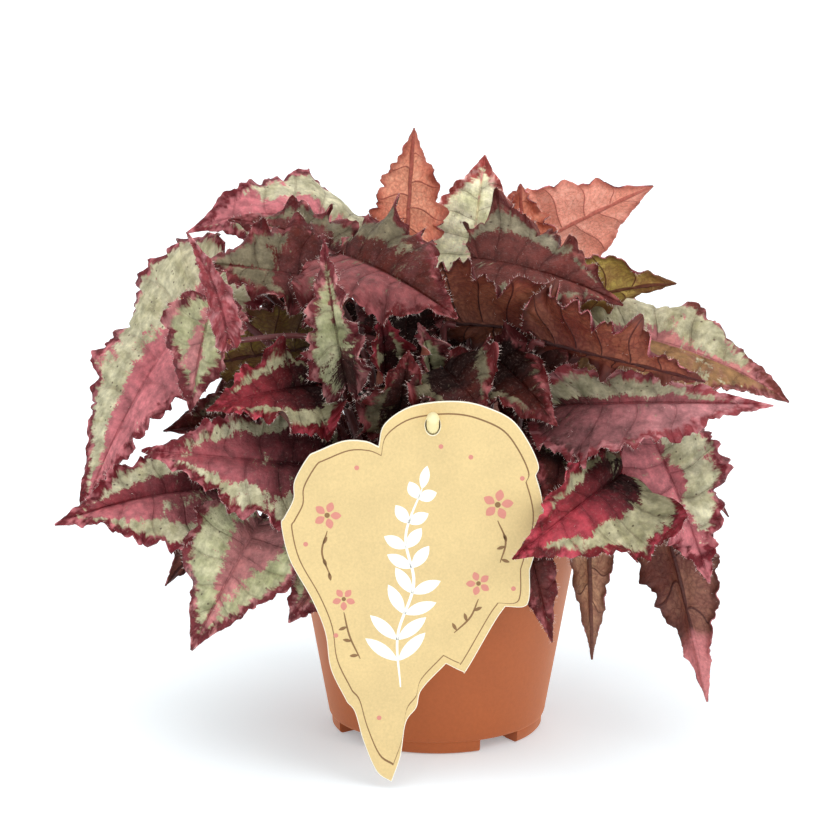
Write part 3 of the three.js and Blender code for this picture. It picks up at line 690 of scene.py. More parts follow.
def geometry_tree(name, sockets):
    """An empty geometry tree with named inputs, and its input node."""
    tree = bpy.data.node_groups.new(name, "GeometryNodeTree")
    tree.interface.new_socket("Geometry", in_out="INPUT", socket_type="NodeSocketGeometry")
    for label, kind in sockets.items():
        tree.interface.new_socket(label, in_out="INPUT", socket_type=kind)
    tree.interface.new_socket("Geometry", in_out="OUTPUT", socket_type="NodeSocketGeometry")
    return tree, add(tree, "NodeGroupInput").outputs


def finish_tree(tree, geometry, material):
    """Ends a geometry tree in plain geometry with its material."""
    real = add(tree, "GeometryNodeRealizeInstances", {"Geometry": geometry})
    painted = add(tree, "GeometryNodeSetMaterial", {"Geometry": real, "Material": material})
    add(tree, "NodeGroupOutput", {"Geometry": painted})
    return tree


def stalk_tree():
    """Sweeps a ring along each line of the source, as thick as the line's girth says."""
    tree, given = geometry_tree(
        "Stalks along lines", {"Sides": "NodeSocketInt", "Material": "NodeSocketMaterial"}
    )
    girth = add(tree, "GeometryNodeInputNamedAttribute", {"Name": "girth"}, data_type="FLOAT")
    line = add(tree, "GeometryNodeMeshToCurve", {"Mesh": given["Geometry"]})
    ring = add(tree, "GeometryNodeCurvePrimitiveCircle", {"Resolution": given["Sides"], "Radius": 1.0})
    tube = add(
        tree, "GeometryNodeCurveToMesh",
        {"Curve": line, "Profile Curve": ring, "Scale": girth, "Fill Caps": True},
    )
    smooth = add(tree, "GeometryNodeSetShadeSmooth", {"Geometry": tube, "Shade Smooth": True})
    return finish_tree(tree, smooth, given["Material"])


def bristle_tree():
    """Sets fine hairs on a surface, as densely as its hairy attribute says."""
    tree, given = geometry_tree(
        "Bristles on a surface",
        {
            "Density": "NodeSocketFloat", "Length": "NodeSocketFloat", "Radius": "NodeSocketFloat",
            "Seed": "NodeSocketInt", "Material": "NodeSocketMaterial",
        },
    )
    hairy = add(tree, "GeometryNodeInputNamedAttribute", {"Name": "hairy"}, data_type="FLOAT")
    density = add(tree, "ShaderNodeMath", {0: hairy, 1: given["Density"]}, operation="MULTIPLY")
    roots = add(
        tree, "GeometryNodeDistributePointsOnFaces",
        {"Mesh": given["Geometry"], "Density": density, "Seed": given["Seed"]},
    )
    hair = add(
        tree, "GeometryNodeMeshCone",
        {"Vertices": 3, "Radius Top": 0.0, "Radius Bottom": given["Radius"], "Depth": given["Length"]},
    )
    lean = add(
        tree, "FunctionNodeRandomValue",
        {"Min": (-0.5, -0.5, 0.0), "Max": (0.5, 0.5, 6.28), "Seed": given["Seed"]},
        data_type="FLOAT_VECTOR",
    )
    turned = add(
        tree, "FunctionNodeRotateRotation",
        {"Rotation": roots.outputs["Rotation"], "Rotate By": lean},
        rotation_space="LOCAL",
    )
    size = add(
        tree, "FunctionNodeRandomValue", {"Min": 0.35, "Max": 1.0, "Seed": given["Seed"]}, data_type="FLOAT"
    )
    hairs = add(
        tree, "GeometryNodeInstanceOnPoints",
        {"Points": roots.outputs["Points"], "Instance": hair, "Rotation": turned, "Scale": size},
    )
    return finish_tree(tree, hairs, given["Material"])


def copies_tree():
    """Sets a copy of one object on each point of the source, turned and sized by the point."""
    tree, given = geometry_tree(
        "Copies on points", {"Copied": "NodeSocketObject", "Material": "NodeSocketMaterial"}
    )
    turn = add(tree, "GeometryNodeInputNamedAttribute", {"Name": "turn"}, data_type="FLOAT_VECTOR")
    size = add(tree, "GeometryNodeInputNamedAttribute", {"Name": "size"}, data_type="FLOAT_VECTOR")
    copied = add(tree, "GeometryNodeObjectInfo", {"Object": given["Copied"]})
    copies = add(
        tree, "GeometryNodeInstanceOnPoints",
        {
            "Points": given["Geometry"], "Instance": copied.outputs["Geometry"], "Rotation": turn,
            "Scale": size,
        },
    )
    return finish_tree(tree, copies, given["Material"])


# Materials


def new_material(name):
    """A material without nodes, and its tree."""
    material = bpy.data.materials.new(name)
    material.use_nodes = True
    material.node_tree.nodes.clear()
    return material, material.node_tree


def finish_material(tree, finish):
    """Ends a material in its shader. finish maps the shader's inputs to values, sockets or nodes."""
    shader = add(tree, "ShaderNodeBsdfPrincipled", finish)
    add(tree, "ShaderNodeOutputMaterial", {"Surface": shader})


def blade_places(tree):
    """What both sides of a blade read: place, row of side veins, distance from the rim, and three tints:
    silver, blush and darkness, the last partly the leaf's own dark base and partly painted shade.
    """
    place = add(tree, "ShaderNodeAttribute", attribute_name="place").outputs["Vector"]
    zone = add(tree, "ShaderNodeAttribute", attribute_name="zone").outputs["Vector"]
    tint = add(tree, "ShaderNodeAttribute", attribute_name="tint").outputs["Vector"]
    row, _, rim = add(tree, "ShaderNodeSeparateXYZ", {"Vector": zone}).outputs
    return place, row, rim, add(tree, "ShaderNodeSeparateXYZ", {"Vector": tint}).outputs


def blade_lines(tree, place, row, vein, rib):
    """Lines along the midrib and the side veins, at whole rows, and the nearest side vein's distance in rows.

    vein and rib each say how far a line is full, how far out it ends, and how strong it is.
    """
    near = add(tree, "ShaderNodeMath", {0: row, 1: 0.5}, operation="PINGPONG")
    across = add(tree, "ShaderNodeSeparateXYZ", {"Vector": place}).outputs["X"]
    across = add(tree, "ShaderNodeMath", {0: across}, operation="ABSOLUTE")
    fading = [
        add(
            tree, "ShaderNodeMapRange",
            {"Value": away, "From Min": full, "From Max": end, "To Min": strength, "To Max": 0.0},
            interpolation_type="SMOOTHSTEP",
        )
        for away, (full, end, strength) in ((near, vein), (across, rib))
    ]
    return add(tree, "ShaderNodeMath", {0: fading[0], 1: fading[1]}, operation="MAXIMUM"), near


def blade_top(livery):
    """Upper side of a living blade: satiny, short-haired cuticle, painted in zones that follow the veins."""
    colours = bpy.context.scene.begonia_colours
    heart, deep, band, shade, margin, blush = (
        tuple(getattr(colours, f"{livery}_{part}")) for part in TOP_PARTS
    )
    material, tree = new_material(f"Begonia leaf, {livery} upper side")
    place, row, rim, (silver, flush, dark) = blade_places(tree)
    # Feathered edges of the band: strokes about 1 mm wide that run along the side veins
    along = add(tree, "ShaderNodeMapping", {"Vector": place, "Scale": (0.4, 1.0, 1.0)})
    strokes = add(
        tree, "ShaderNodeTexNoise", {"Vector": along, "Scale": 0.55, "Detail": 3.0, "Roughness": 0.6}
    )
    drift = add(tree, "ShaderNodeTexNoise", {"Vector": place, "Scale": 0.09, "Detail": 2.0})
    torn = add(tree, "ShaderNodeMath", {0: strokes, 1: 1.5, 2: -0.75}, operation="MULTIPLY_ADD")
    torn = add(tree, "ShaderNodeMath", {0: drift, 1: 2.2, 2: torn}, operation="MULTIPLY_ADD")
    grain = add(tree, "ShaderNodeTexNoise", {"Vector": place, "Scale": 1.4, "Detail": 3.0, "Roughness": 0.7})
    torn = add(tree, "ShaderNodeMath", {0: grain, 1: 0.9, 2: torn}, operation="MULTIPLY_ADD")
    torn = add(tree, "ShaderNodeMath", {0: torn, 1: silver}, operation="ADD")
    in_band = add(
        tree, "ShaderNodeMapRange", {"Value": torn, "From Min": 1.9, "From Max": 2.16},
        interpolation_type="SMOOTHSTEP",
    )
    # Heart of the blade, paler where it blushes and darker at the base and near the middle of the plant,
    # partly its own dark pigment and partly painted shade
    cloud = add(tree, "ShaderNodeTexNoise", {"Vector": place, "Scale": 0.07, "Detail": 4.0, "Roughness": 0.6})
    soft = add(tree, "ShaderNodeMath", {0: cloud, 1: 1.6, 2: -0.8}, operation="MULTIPLY_ADD")
    soft = add(tree, "ShaderNodeMath", {0: strokes, 1: 0.7, 2: soft}, operation="MULTIPLY_ADD")
    soft = add(tree, "ShaderNodeMath", {0: soft, 1: 0.35}, operation="SUBTRACT")
    blushing = add(tree, "ShaderNodeMath", {0: soft, 1: flush}, operation="ADD", use_clamp=True)
    colour = add(tree, "ShaderNodeMix", {"Factor": blushing, "A": heart, "B": blush}, data_type="RGBA")
    darkness = add(tree, "ShaderNodeMath", {0: soft, 1: dark}, operation="ADD", use_clamp=True)
    colour = add(tree, "ShaderNodeMix", {"Factor": darkness, "A": colour, "B": deep}, data_type="RGBA")
    # Silver band, mottled at 2 mm
    mottle = add(
        tree, "ShaderNodeTexNoise", {"Vector": along, "Scale": 0.26, "Detail": 3.0, "Roughness": 0.6}
    )
    mottle = add(tree, "ShaderNodeMapRange", {"Value": mottle, "From Min": 0.35, "From Max": 0.65})
    pale = add(tree, "ShaderNodeMix", {"Factor": mottle, "A": shade, "B": band}, data_type="RGBA")
    colour = add(tree, "ShaderNodeMix", {"Factor": in_band, "A": colour, "B": pale}, data_type="RGBA")
    # Side veins, which wave a little on their way to the edge, and the midrib
    lines, near = blade_lines(tree, place, row, (0.01, 0.045, 1.0), (0.25, 0.75, 1.0))
    faint = add(tree, "ShaderNodeMath", {0: lines, 1: 0.13}, operation="MULTIPLY")
    colour = add(tree, "ShaderNodeMix", {"Factor": faint, "A": colour, "B": margin}, data_type="RGBA")
    # Dark margin, broken by paler tooth tips
    ragged = add(tree, "ShaderNodeMath", {0: strokes, 1: 9.0, 2: -4.5}, operation="MULTIPLY_ADD")
    ragged = add(tree, "ShaderNodeMath", {0: ragged, 1: rim}, operation="ADD")
    edge = add(
        tree, "ShaderNodeMapRange",
        {"Value": ragged, "From Min": 2.2, "From Max": 4.4, "To Min": 1.0, "To Max": 0.0},
        interpolation_type="SMOOTHSTEP",
    )
    blotch = add(tree, "ShaderNodeTexNoise", {"Vector": place, "Scale": 0.3, "Detail": 2.0})
    rosy = add(
        tree, "ShaderNodeMapRange", {"Value": blotch, "From Min": 0.48, "From Max": 0.68, "To Max": 0.8}
    )
    hem = add(tree, "ShaderNodeMix", {"Factor": rosy, "A": margin, "B": blush}, data_type="RGBA")
    colour = add(tree, "ShaderNodeMix", {"Factor": edge, "A": colour, "B": hem}, data_type="RGBA")
    # Painted highlight: a thin pale line along the very rim, in the margin's blotches, where the crimped edge
    # catches the light
    thin = add(
        tree, "ShaderNodeMapRange",
        {"Value": rim, "From Min": 0.2, "From Max": 0.8, "To Min": 0.9, "To Max": 0.0},
    )
    thin = add(tree, "ShaderNodeMath", {0: thin, 1: rosy}, operation="MULTIPLY")
    colour = add(tree, "ShaderNodeMix", {"Factor": thin, "A": colour, "B": blush}, data_type="RGBA")
    # Quilting: painted shade darkens the flesh into the sunk veins, and random patches of about 3 mm are
    # painted paler and darker as the light and shade on its swellings
    swell = add(
        tree, "ShaderNodeTexNoise", {"Vector": place, "Scale": 0.32, "Detail": 3.0, "Roughness": 0.65}
    )
    swell = add(
        tree, "ShaderNodeMapRange",
        {"Value": swell, "From Min": 0.36, "From Max": 0.66, "To Min": 0.7, "To Max": 1.25},
    )
    vein_shade = add(
        tree, "ShaderNodeMapRange",
        {"Value": near, "From Min": 0.0, "From Max": 0.2, "To Min": 0.84, "To Max": 1.04},
    )
    value = add(tree, "ShaderNodeMath", {0: swell, 1: vein_shade}, operation="MULTIPLY")
    # Darker where its darkness is high, at the base and near the middle of the plant: partly its own dark
    # base, partly painted shade
    shaded = add(
        tree, "ShaderNodeMath", {0: dark, 1: -0.5, 2: 1.05}, operation="MULTIPLY_ADD", use_clamp=True
    )
    value = add(tree, "ShaderNodeMath", {0: value, 1: shaded}, operation="MULTIPLY")
    colour = add(tree, "ShaderNodeHueSaturation", {"Saturation": 1.08, "Value": value, "Color": colour})
    # Pale flecks of lying hairs: partly their own pale colour, partly painted highlights where they catch the
    # light
    hair_flecks_and_glints = add(tree, "ShaderNodeTexNoise", {"Vector": place, "Scale": 1.1, "Detail": 2.0, "Roughness": 0.8})
    hair_flecks_and_glints = add(
        tree, "ShaderNodeMapRange",
        {"Value": hair_flecks_and_glints, "From Min": 0.56, "From Max": 0.72, "To Max": 0.1},
    )
    colour = add(
        tree, "ShaderNodeMix", {"Factor": hair_flecks_and_glints, "A": colour, "B": linear("#cfb3a8")}, data_type="RGBA"
    )
    # Dark specks in the silver, about 0.5 mm across and 3 mm apart
    cells = add(tree, "ShaderNodeTexVoronoi", {"Vector": place, "Scale": 0.34}).outputs["Distance"]
    speck = add(
        tree, "ShaderNodeMapRange",
        {"Value": cells, "From Min": 0.08, "From Max": 0.15, "To Min": 0.75, "To Max": 0.0},
    )
    speck = add(tree, "ShaderNodeMath", {0: speck, 1: in_band}, operation="MULTIPLY")
    colour = add(tree, "ShaderNodeMix", {"Factor": speck, "A": colour, "B": deep}, data_type="RGBA")
    # Relief: sunk veins, a cell texture of about 0.8 mm and the strokes of lying hairs
    height = add(tree, "ShaderNodeMath", {0: lines, 1: -0.8, 2: grain}, operation="MULTIPLY_ADD")
    height = add(tree, "ShaderNodeMath", {0: strokes, 1: 0.8, 2: height}, operation="MULTIPLY_ADD")
    bump = add(tree, "ShaderNodeBump", {"Strength": 0.6, "Distance": 0.0009, "Height": height})
    gloss = add(tree, "ShaderNodeMapRange", {"Value": grain, "To Min": 0.42, "To Max": 0.62})
    dull = add(tree, "ShaderNodeMapRange", {"Value": dark, "To Min": 0.5, "To Max": 0.15})
    finish = {
        "Base Color": colour, "Roughness": gloss, "Normal": bump, "Specular IOR Level": dull, "IOR": 1.3,
    }
    # Painted glow for the light that shines through this side
    if livery in PAINTED_GLOW:
        finish |= {"Emission Color": colour, "Emission Strength": PAINTED_GLOW[livery]}
    finish_material(tree, finish)
    return material


def blade_underside(livery):
    """Underside of a blade: bare, satiny flesh with a raised net of dark veins; some undersides glow a
    little, painted light for the light shining through them.
    """
    colours = bpy.context.scene.begonia_colours
    flesh, between, dark = (tuple(getattr(colours, f"{livery}_{part}")) for part in UNDER_PARTS)
    material, tree = new_material(f"Begonia leaf, {livery} underside")
    place, row, rim, (_, _, shaded) = blade_places(tree)
    cloud = add(tree, "ShaderNodeTexNoise", {"Vector": place, "Scale": 0.07, "Detail": 3.0})
    cloud = add(tree, "ShaderNodeMapRange", {"Value": cloud, "From Min": 0.38, "From Max": 0.62})
    lines, _ = blade_lines(tree, place, row, (0.008, 0.034, 0.85), (0.4, 0.85, 0.9))
    # Net of small veins, in cells of about 2.5 mm that are bent out of their grid
    bent = add(tree, "ShaderNodeTexNoise", {"Vector": place, "Scale": 0.2, "Detail": 2.0})
    bent = add(
        tree, "ShaderNodeVectorMath", {0: bent.outputs["Color"], 1: (7.0, 7.0, 0.0)}, operation="MULTIPLY"
    )
    bent = add(tree, "ShaderNodeVectorMath", {0: bent, 1: place}, operation="ADD")
    cells = add(tree, "ShaderNodeTexVoronoi", {"Vector": bent, "Scale": 0.4}, feature="DISTANCE_TO_EDGE")
    away = cells.outputs["Distance"]
    net = add(
        tree, "ShaderNodeMapRange",
        {"Value": away, "From Min": 0.0, "From Max": 0.09, "To Min": 0.22, "To Max": 0.0},
    )
    lines = add(tree, "ShaderNodeMath", {0: lines, 1: net}, operation="MAXIMUM")
    # Flesh pales in the middle of each cell of the net
    middle = add(tree, "ShaderNodeMath", {0: away, 1: 0.15}, operation="SUBTRACT")
    middle = add(
        tree, "ShaderNodeMath", {0: cloud, 1: 0.6, 2: middle}, operation="MULTIPLY_ADD", use_clamp=True
    )
    colour = add(tree, "ShaderNodeMix", {"Factor": middle, "A": flesh, "B": between}, data_type="RGBA")
    # Dark hem of 3 mm, and for some undersides a rosy tip
    edge = add(
        tree, "ShaderNodeMapRange",
        {"Value": rim, "From Min": 0.6, "From Max": 3.0, "To Min": 0.7, "To Max": 0.0},
    )
    lines = add(tree, "ShaderNodeMath", {0: lines, 1: edge}, operation="MAXIMUM")
    colour = add(tree, "ShaderNodeMix", {"Factor": lines, "A": colour, "B": dark}, data_type="RGBA")
    if livery in ROSY_TIPS:
        start, blush = ROSY_TIPS[livery]
        along = add(tree, "ShaderNodeSeparateXYZ", {"Vector": bent}).outputs["Y"]
        rosy = add(
            tree, "ShaderNodeMapRange",
            {"Value": along, "From Min": start, "From Max": start + 5, "To Max": 0.9},
        )
        colour = add(
            tree, "ShaderNodeMix", {"Factor": rosy, "A": colour, "B": linear(blush)}, data_type="RGBA"
        )
    grain = add(tree, "ShaderNodeTexNoise", {"Vector": place, "Scale": 1.0, "Detail": 3.0, "Roughness": 0.7})
    # The underside darkens in the same way, at the base and near the middle of the plant: partly its own dark
    # base, partly painted shade
    value = add(
        tree, "ShaderNodeMath", {0: shaded, 1: -0.8, 2: 1.0}, operation="MULTIPLY_ADD", use_clamp=True
    )
    rough = add(
        tree, "ShaderNodeMapRange",
        {"Value": grain, "From Min": 0.3, "From Max": 0.7, "To Min": 0.75, "To Max": 1.25},
    )
    value = add(tree, "ShaderNodeMath", {0: value, 1: rough}, operation="MULTIPLY")
    colour = add(tree, "ShaderNodeHueSaturation", {"Value": value, "Color": colour})
    height = add(tree, "ShaderNodeMath", {0: lines, 1: 1.2, 2: grain}, operation="MULTIPLY_ADD")
    bump = add(tree, "ShaderNodeBump", {"Strength": 0.6, "Distance": 0.0008, "Height": height})
    gloss = add(tree, "ShaderNodeMapRange", {"Value": grain, "To Min": 0.35, "To Max": 0.55})
    finish = {"Base Color": colour, "Roughness": gloss, "Normal": bump, "IOR": 1.32}
    # Painted glow for the light that shines through this side
    if livery in PAINTED_GLOW:
        finish |= {"Emission Color": colour, "Emission Strength": PAINTED_GLOW[livery]}
    finish_material(tree, finish)
    return material


def flecked(name, colour, scale, spread, roughness, relief, ior=1.46, stretch=(1.0, 1.0, 1.0), finish=None):
    """A material of one colour whose value varies by a share, the spread, with a fine grain.

    scale is in grains per metre, relief in metres, and finish holds further inputs of the shader.
    """
    material, tree = new_material(name)
    place = add(tree, "ShaderNodeTexCoord").outputs["Object"]
    place = add(tree, "ShaderNodeMapping", {"Vector": place, "Scale": stretch})
    grain = add(
        tree, "ShaderNodeTexNoise", {"Vector": place, "Scale": scale, "Detail": 4.0, "Roughness": 0.65}
    )
    cloud = add(tree, "ShaderNodeTexNoise", {"Vector": place, "Scale": scale * 0.06, "Detail": 2.0})
    both = add(tree, "ShaderNodeMath", {0: grain, 1: 0.6}, operation="MULTIPLY")
    both = add(tree, "ShaderNodeMath", {0: cloud, 1: 0.4, 2: both}, operation="MULTIPLY_ADD")
    light = [min(c * (1 + spread), 1.0) for c in colour[:3]] + [1.0]
    dark = [c * (1 - spread) for c in colour[:3]] + [1.0]
    factor = add(tree, "ShaderNodeMapRange", {"Value": both, "From Min": 0.36, "From Max": 0.64})
    mixed = add(tree, "ShaderNodeMix", {"Factor": factor, "A": dark, "B": light}, data_type="RGBA")
    bump = add(tree, "ShaderNodeBump", {"Strength": 0.3, "Distance": relief, "Height": grain})
    gloss = add(
        tree, "ShaderNodeMapRange",
        {"Value": cloud, "To Min": roughness - 0.08, "To Max": roughness + 0.08},
    )
    base = {"Base Color": mixed, "Roughness": gloss, "Normal": bump, "IOR": ior}
    finish_material(tree, base | (finish or {}))
    return material


# Leaves

# Places across a blade, closer together at the midrib and at the ruffled edge
HALF_COLUMNS = np.array((0.04, 0.11, 0.21, 0.33, 0.45, 0.57, 0.68, 0.78, 0.86, 0.925, 0.97, 1.0))
COLUMNS = np.concatenate((-HALF_COLUMNS[::-1], (0.0,), HALF_COLUMNS))[None, :]


def unit(v):
    """Vectors of length one."""
    return v / np.linalg.norm(v, axis=-1, keepdims=True)


def spine(form):
    """The blade's midrib: a function of the place along it that gives points, normals and ways across."""
    base, tip, face = (np.array(part, float) for part in (form.base, form.tip, form.face))
    arch, swerve, twist = form.curve
    forward = unit(tip - base)
    face = unit(face - forward * (face @ forward))
    side = np.cross(forward, face)
    middle = (base + tip) / 2 + face * arch + side * swerve

    def at(s):
        inside = np.clip(s, 0, 1)[..., None]
        rest = (s - inside[..., 0])[..., None]
        slope = 2 * (1 - inside) * (middle - base) + 2 * inside * (tip - middle)
        point = (1 - inside) ** 2 * base + 2 * inside * (1 - inside) * middle + inside**2 * tip
        point = point + rest * slope
        tangent = unit(slope)
        turn = math.radians(twist) * inside
        normal = face * np.cos(turn) + side * np.sin(turn)
        normal = unit(normal - tangent * (normal * tangent).sum(-1, keepdims=True))
        return point, normal, np.cross(tangent, normal)

    return at


def lobes(t, count, dice):
    """The edge's lobes: their running number, and how far the edge stands out, leaning towards the tip."""
    knots = np.concatenate(((0,), np.cumsum(dice.uniform(0.5, 1.5, count))))
    knots /= knots[-1]
    cell = np.clip(np.searchsorted(knots, t, side="right") - 1, 0, count - 1)
    local = (t - knots[cell]) / (knots[cell + 1] - knots[cell])
    saw = np.where(local < 0.74, np.sin(math.pi / 2 * local / 0.74) ** 1.2, (1 - local) / 0.26)
    return cell + local, (saw - 0.5) * dice.uniform(0.35, 1.6, count)[cell]


def half_edge(t, length, widest, calm, sizes, dice):
    """One half's edge down the blade: how far it stands out, how far it frills and how far its teeth bend."""
    count = int(np.clip(round(length / LOBE_SPACING), 4, 9))
    teeth = int(np.clip(round(length / TOOTH_SPACING), 9, 28))
    number, big = lobes(t, count, dice)
    close, middling = lobes(t, teeth, dice)
    tight, small = lobes(t, teeth * 2, dice)
    depth = sizes.tooth_depth / MM / max(widest, 18) * (CALM_TEETH if calm else 1.0)
    tooth = big * sizes.lobes + middling * depth + small * depth * 0.4
    lift = dice.uniform(0.4, 1.3, count + 2)
    frill = np.sin(math.pi * number + dice.uniform(0, 6)) * np.interp(number, range(count + 2), lift)
    pinch = dice.uniform(0.3, 1.5, teeth + 2)
    crimp = np.sin(math.pi * close + dice.uniform(0, 6)) * np.interp(close, range(teeth + 2), pinch)
    crimp = crimp + 0.45 * np.sin(math.pi * tight + dice.uniform(0, 6))
    return tooth, frill, crimp


def in_zone(zone, t, out):
    """How far inside a zone of silver a place lies, from -1 to 1."""
    inner, slope, start, stop = zone
    edges = ((out - inner - slope * t) / 0.16, (0.9 - out) / 0.16, (t - start) / 0.1, (stop - t) / 0.12)
    return np.clip(np.minimum.reduce(np.broadcast_arrays(*edges)), -1, 1)


def blade_tint(look, points, t, out, right):
    """How silver, flushed and dark a blade is: by its look, darker at its base, partly its own pigment and
    partly painted shade, and with painted shade in the heart of the plant.
    """
    silver = np.where(right, in_zone(look.right, t, out), in_zone(look.left, t, out)) * 0.5 + 0.5
    flush = np.where(right, look.blush[1], look.blush[0])
    # Darker towards the base, partly the leaf's own dark pigment and partly painted shade, and a little
    # darker along the midrib
    dark = look.dark * np.clip(1.3 - 2.1 * t, 0, 1) ** 0.8 + 0.06 * np.clip(1 - out * 6, 0, 1)
    # Painted shade: every blade darkens and blushes less near the middle of the plant, where the leaves
    # around it keep the light off
    heart_shade = np.exp(-((((points - np.array(SHADE_CENTRE)) / np.array(SHADE_REACH)) ** 2).sum(-1)))
    return np.stack((silver, flush * (1 - 0.7 * heart_shade), dark + 0.95 * heart_shade), -1)


def blade_grid(name, form, look, rows, sizes, dice):
    """The middle surface of a blade in millimetres, what its materials read there, and its ribs' height."""
    t = np.linspace(0, 1, rows)[:, None]
    v = COLUMNS
    out = np.abs(v)
    right = v > 0
    stations = np.linspace(0, 1, len(OUTLINE))
    midrib, edge_along, edge_across = (np.interp(t, stations, OUTLINE[:, k]) for k in range(3))
    half = np.where(right, form.halves[1], form.halves[0])
    widest = max(form.halves)
    length = math.dist(form.base, form.tip)
    edges = [half_edge(t, length, widest, name in CALM, sizes, dice) for _ in range(2)]
    tooth, frill, crimp = (np.where(right, second, first) for first, second in zip(*edges))
    fade = np.clip(edge_across * 1.8, 0, 1)
    reach = np.maximum(edge_across * half * (1 + tooth * out**2.2), 0.12)
    flat = out * reach
    s = midrib + out * (edge_along - midrib) + 0.05 * tooth * out**3 * fade
    # Both halves fold up from the midrib and curl down towards the edge
    fold = math.radians(form.fold)
    bend = (np.radians(np.where(right, form.curls[1], form.curls[0])) + 1e-4) / half
    sideways = (np.sin(fold) - np.sin(fold - bend * flat)) / bend
    up = (np.cos(fold - bend * flat) - np.cos(fold)) / bend
    # Ruffles in a few wide waves, frills between the lobes, and crimped teeth
    ruffle, waves, phase = form.ruffle
    wave = np.sin(2 * math.pi * (waves * t + phase + np.where(right, 0.37, 0)))
    up = up + ruffle * wave * out**2.5 * np.clip(edge_across * 1.6, 0, 1)
    scale = min(widest / 26, 1.1)
    frilled, crimped = (CRIMPED_FRILL, CRIMPED_TEETH) if name in CRIMPED else (1.0, 1.0)
    up = up + (sizes.frill / MM) * scale * frill * out**4.5 * fade * frilled
    up = up + (sizes.crimp / MM) * crimped * crimp * out**7 * fade
    # The blade swells between its side veins and heaves gently
    veins = 7 if widest > 20 else 5
    row = veins * t + np.where(right, 0.5, 0.0) + 0.12 * np.sin(5 * out + dice.uniform(0, 6))
    swell = np.abs(np.sin(math.pi * row)) * np.clip(out * 6, 0, 1) * np.clip((1 - out) * 4, 0, 1)
    up = up + (sizes.quilting / MM) * scale * swell * fade
    for _ in range(3):
        a, b, c = dice.uniform(3, 8), dice.uniform(1, 3), dice.uniform(0, 6)
        up = up + 0.8 * scale * np.sin(a * t + b * v * 2 + c) * np.clip(out * 3, 0, 1) * fade
    point, normal, across = spine(form)(s)
    points = point + across * (np.sign(v) * sideways)[..., None] + normal * up[..., None]
    if name != BEFORE_CARD:
        # Teeth and ruffles stay behind the card's back
        back = CARD_HOLE.y + CARD_GAP + (points[..., 2] - CARD_HOLE.z) * math.sin(CARD_LEAN)
        middle, reach_across, top = CARD_SPACE
        near = (points[..., 2] < top) & (np.abs(points[..., 0] - middle) < reach_across)
        points[..., 1] = np.where(near, np.maximum(points[..., 1], back), points[..., 1])
    place = np.stack(np.broadcast_arrays(np.sign(v) * flat, t * length, dice.uniform(0, 900)), -1)
    zone = np.stack(np.broadcast_arrays(row, out, (1 - out) * reach), -1)
    tint = blade_tint(look, points, t, out, right)
    lines = np.exp(-((np.abs((row + 0.5) % 1 - 0.5) / 0.07) ** 2)) * np.clip(1.1 - out, 0, 1)
    rib = np.exp(-((flat / RIB_WIDTH) ** 2)) * (1.1 - t)
    return points, {"place": place, "zone": zone, "tint": tint}, 0.9 * rib + 0.3 * lines * fade


def blade_mesh(name, form, look, rows, sizes, dice):
    """One closed blade with an upper side, an underside and a thin edge between them."""
    points, read, ribs = blade_grid(name, form, look, rows, sizes, dice)
    normal = unit(np.cross(np.gradient(points, axis=1), np.gradient(points, axis=0)))
    thick = sizes.blade / MM / 2
    top = points + normal * (thick - 0.125 * ribs[..., None])
    bottom = points - normal * (thick + ribs[..., None])
    n, m = points.shape[:2]
    upper = np.arange(n * m).reshape(n, m)
    lower = upper + n * m

    def quads(a, b, c, d):
        return np.stack((a.ravel(), b.ravel(), c.ravel(), d.ravel()), -1)

    faces = (
        quads(upper[:-1, :-1], upper[:-1, 1:], upper[1:, 1:], upper[1:, :-1]),
        quads(lower[:-1, :-1], lower[1:, :-1], lower[1:, 1:], lower[:-1, 1:]),
        quads(upper[:-1, 0], upper[1:, 0], lower[1:, 0], lower[:-1, 0]),
        quads(upper[1:, -1], upper[:-1, -1], lower[:-1, -1], lower[1:, -1]),
        quads(upper[0, 1:], upper[0, :-1], lower[0, :-1], lower[0, 1:]),
        quads(upper[-1, :-1], upper[-1, 1:], lower[-1, 1:], lower[-1, :-1]),
    )
    corners = np.concatenate((top.reshape(-1, 3), bottom.reshape(-1, 3)))
    mesh = mesh_from(f"blade_{name}", corners, faces=np.concatenate(faces))
    for label, values in read.items():
        add_attribute(mesh, label, "FLOAT_VECTOR", "POINT", np.tile(values.reshape(-1, 3), (2, 1)))
    # Only the second run of faces shows the underside. Hairs stand densely along both long edges.
    counts = [len(f) for f in faces]
    mesh.polygons.foreach_set("material_index", np.repeat((0, 1, 0, 0, 0, 0), counts))
    add_attribute(mesh, "hairy", "FLOAT", "FACE", np.repeat((0.003, 0.002, 1.0, 1.0, 0.0, 0.0), counts))
    mesh.set_sharp_from_angle(angle=math.radians(55))
    return mesh


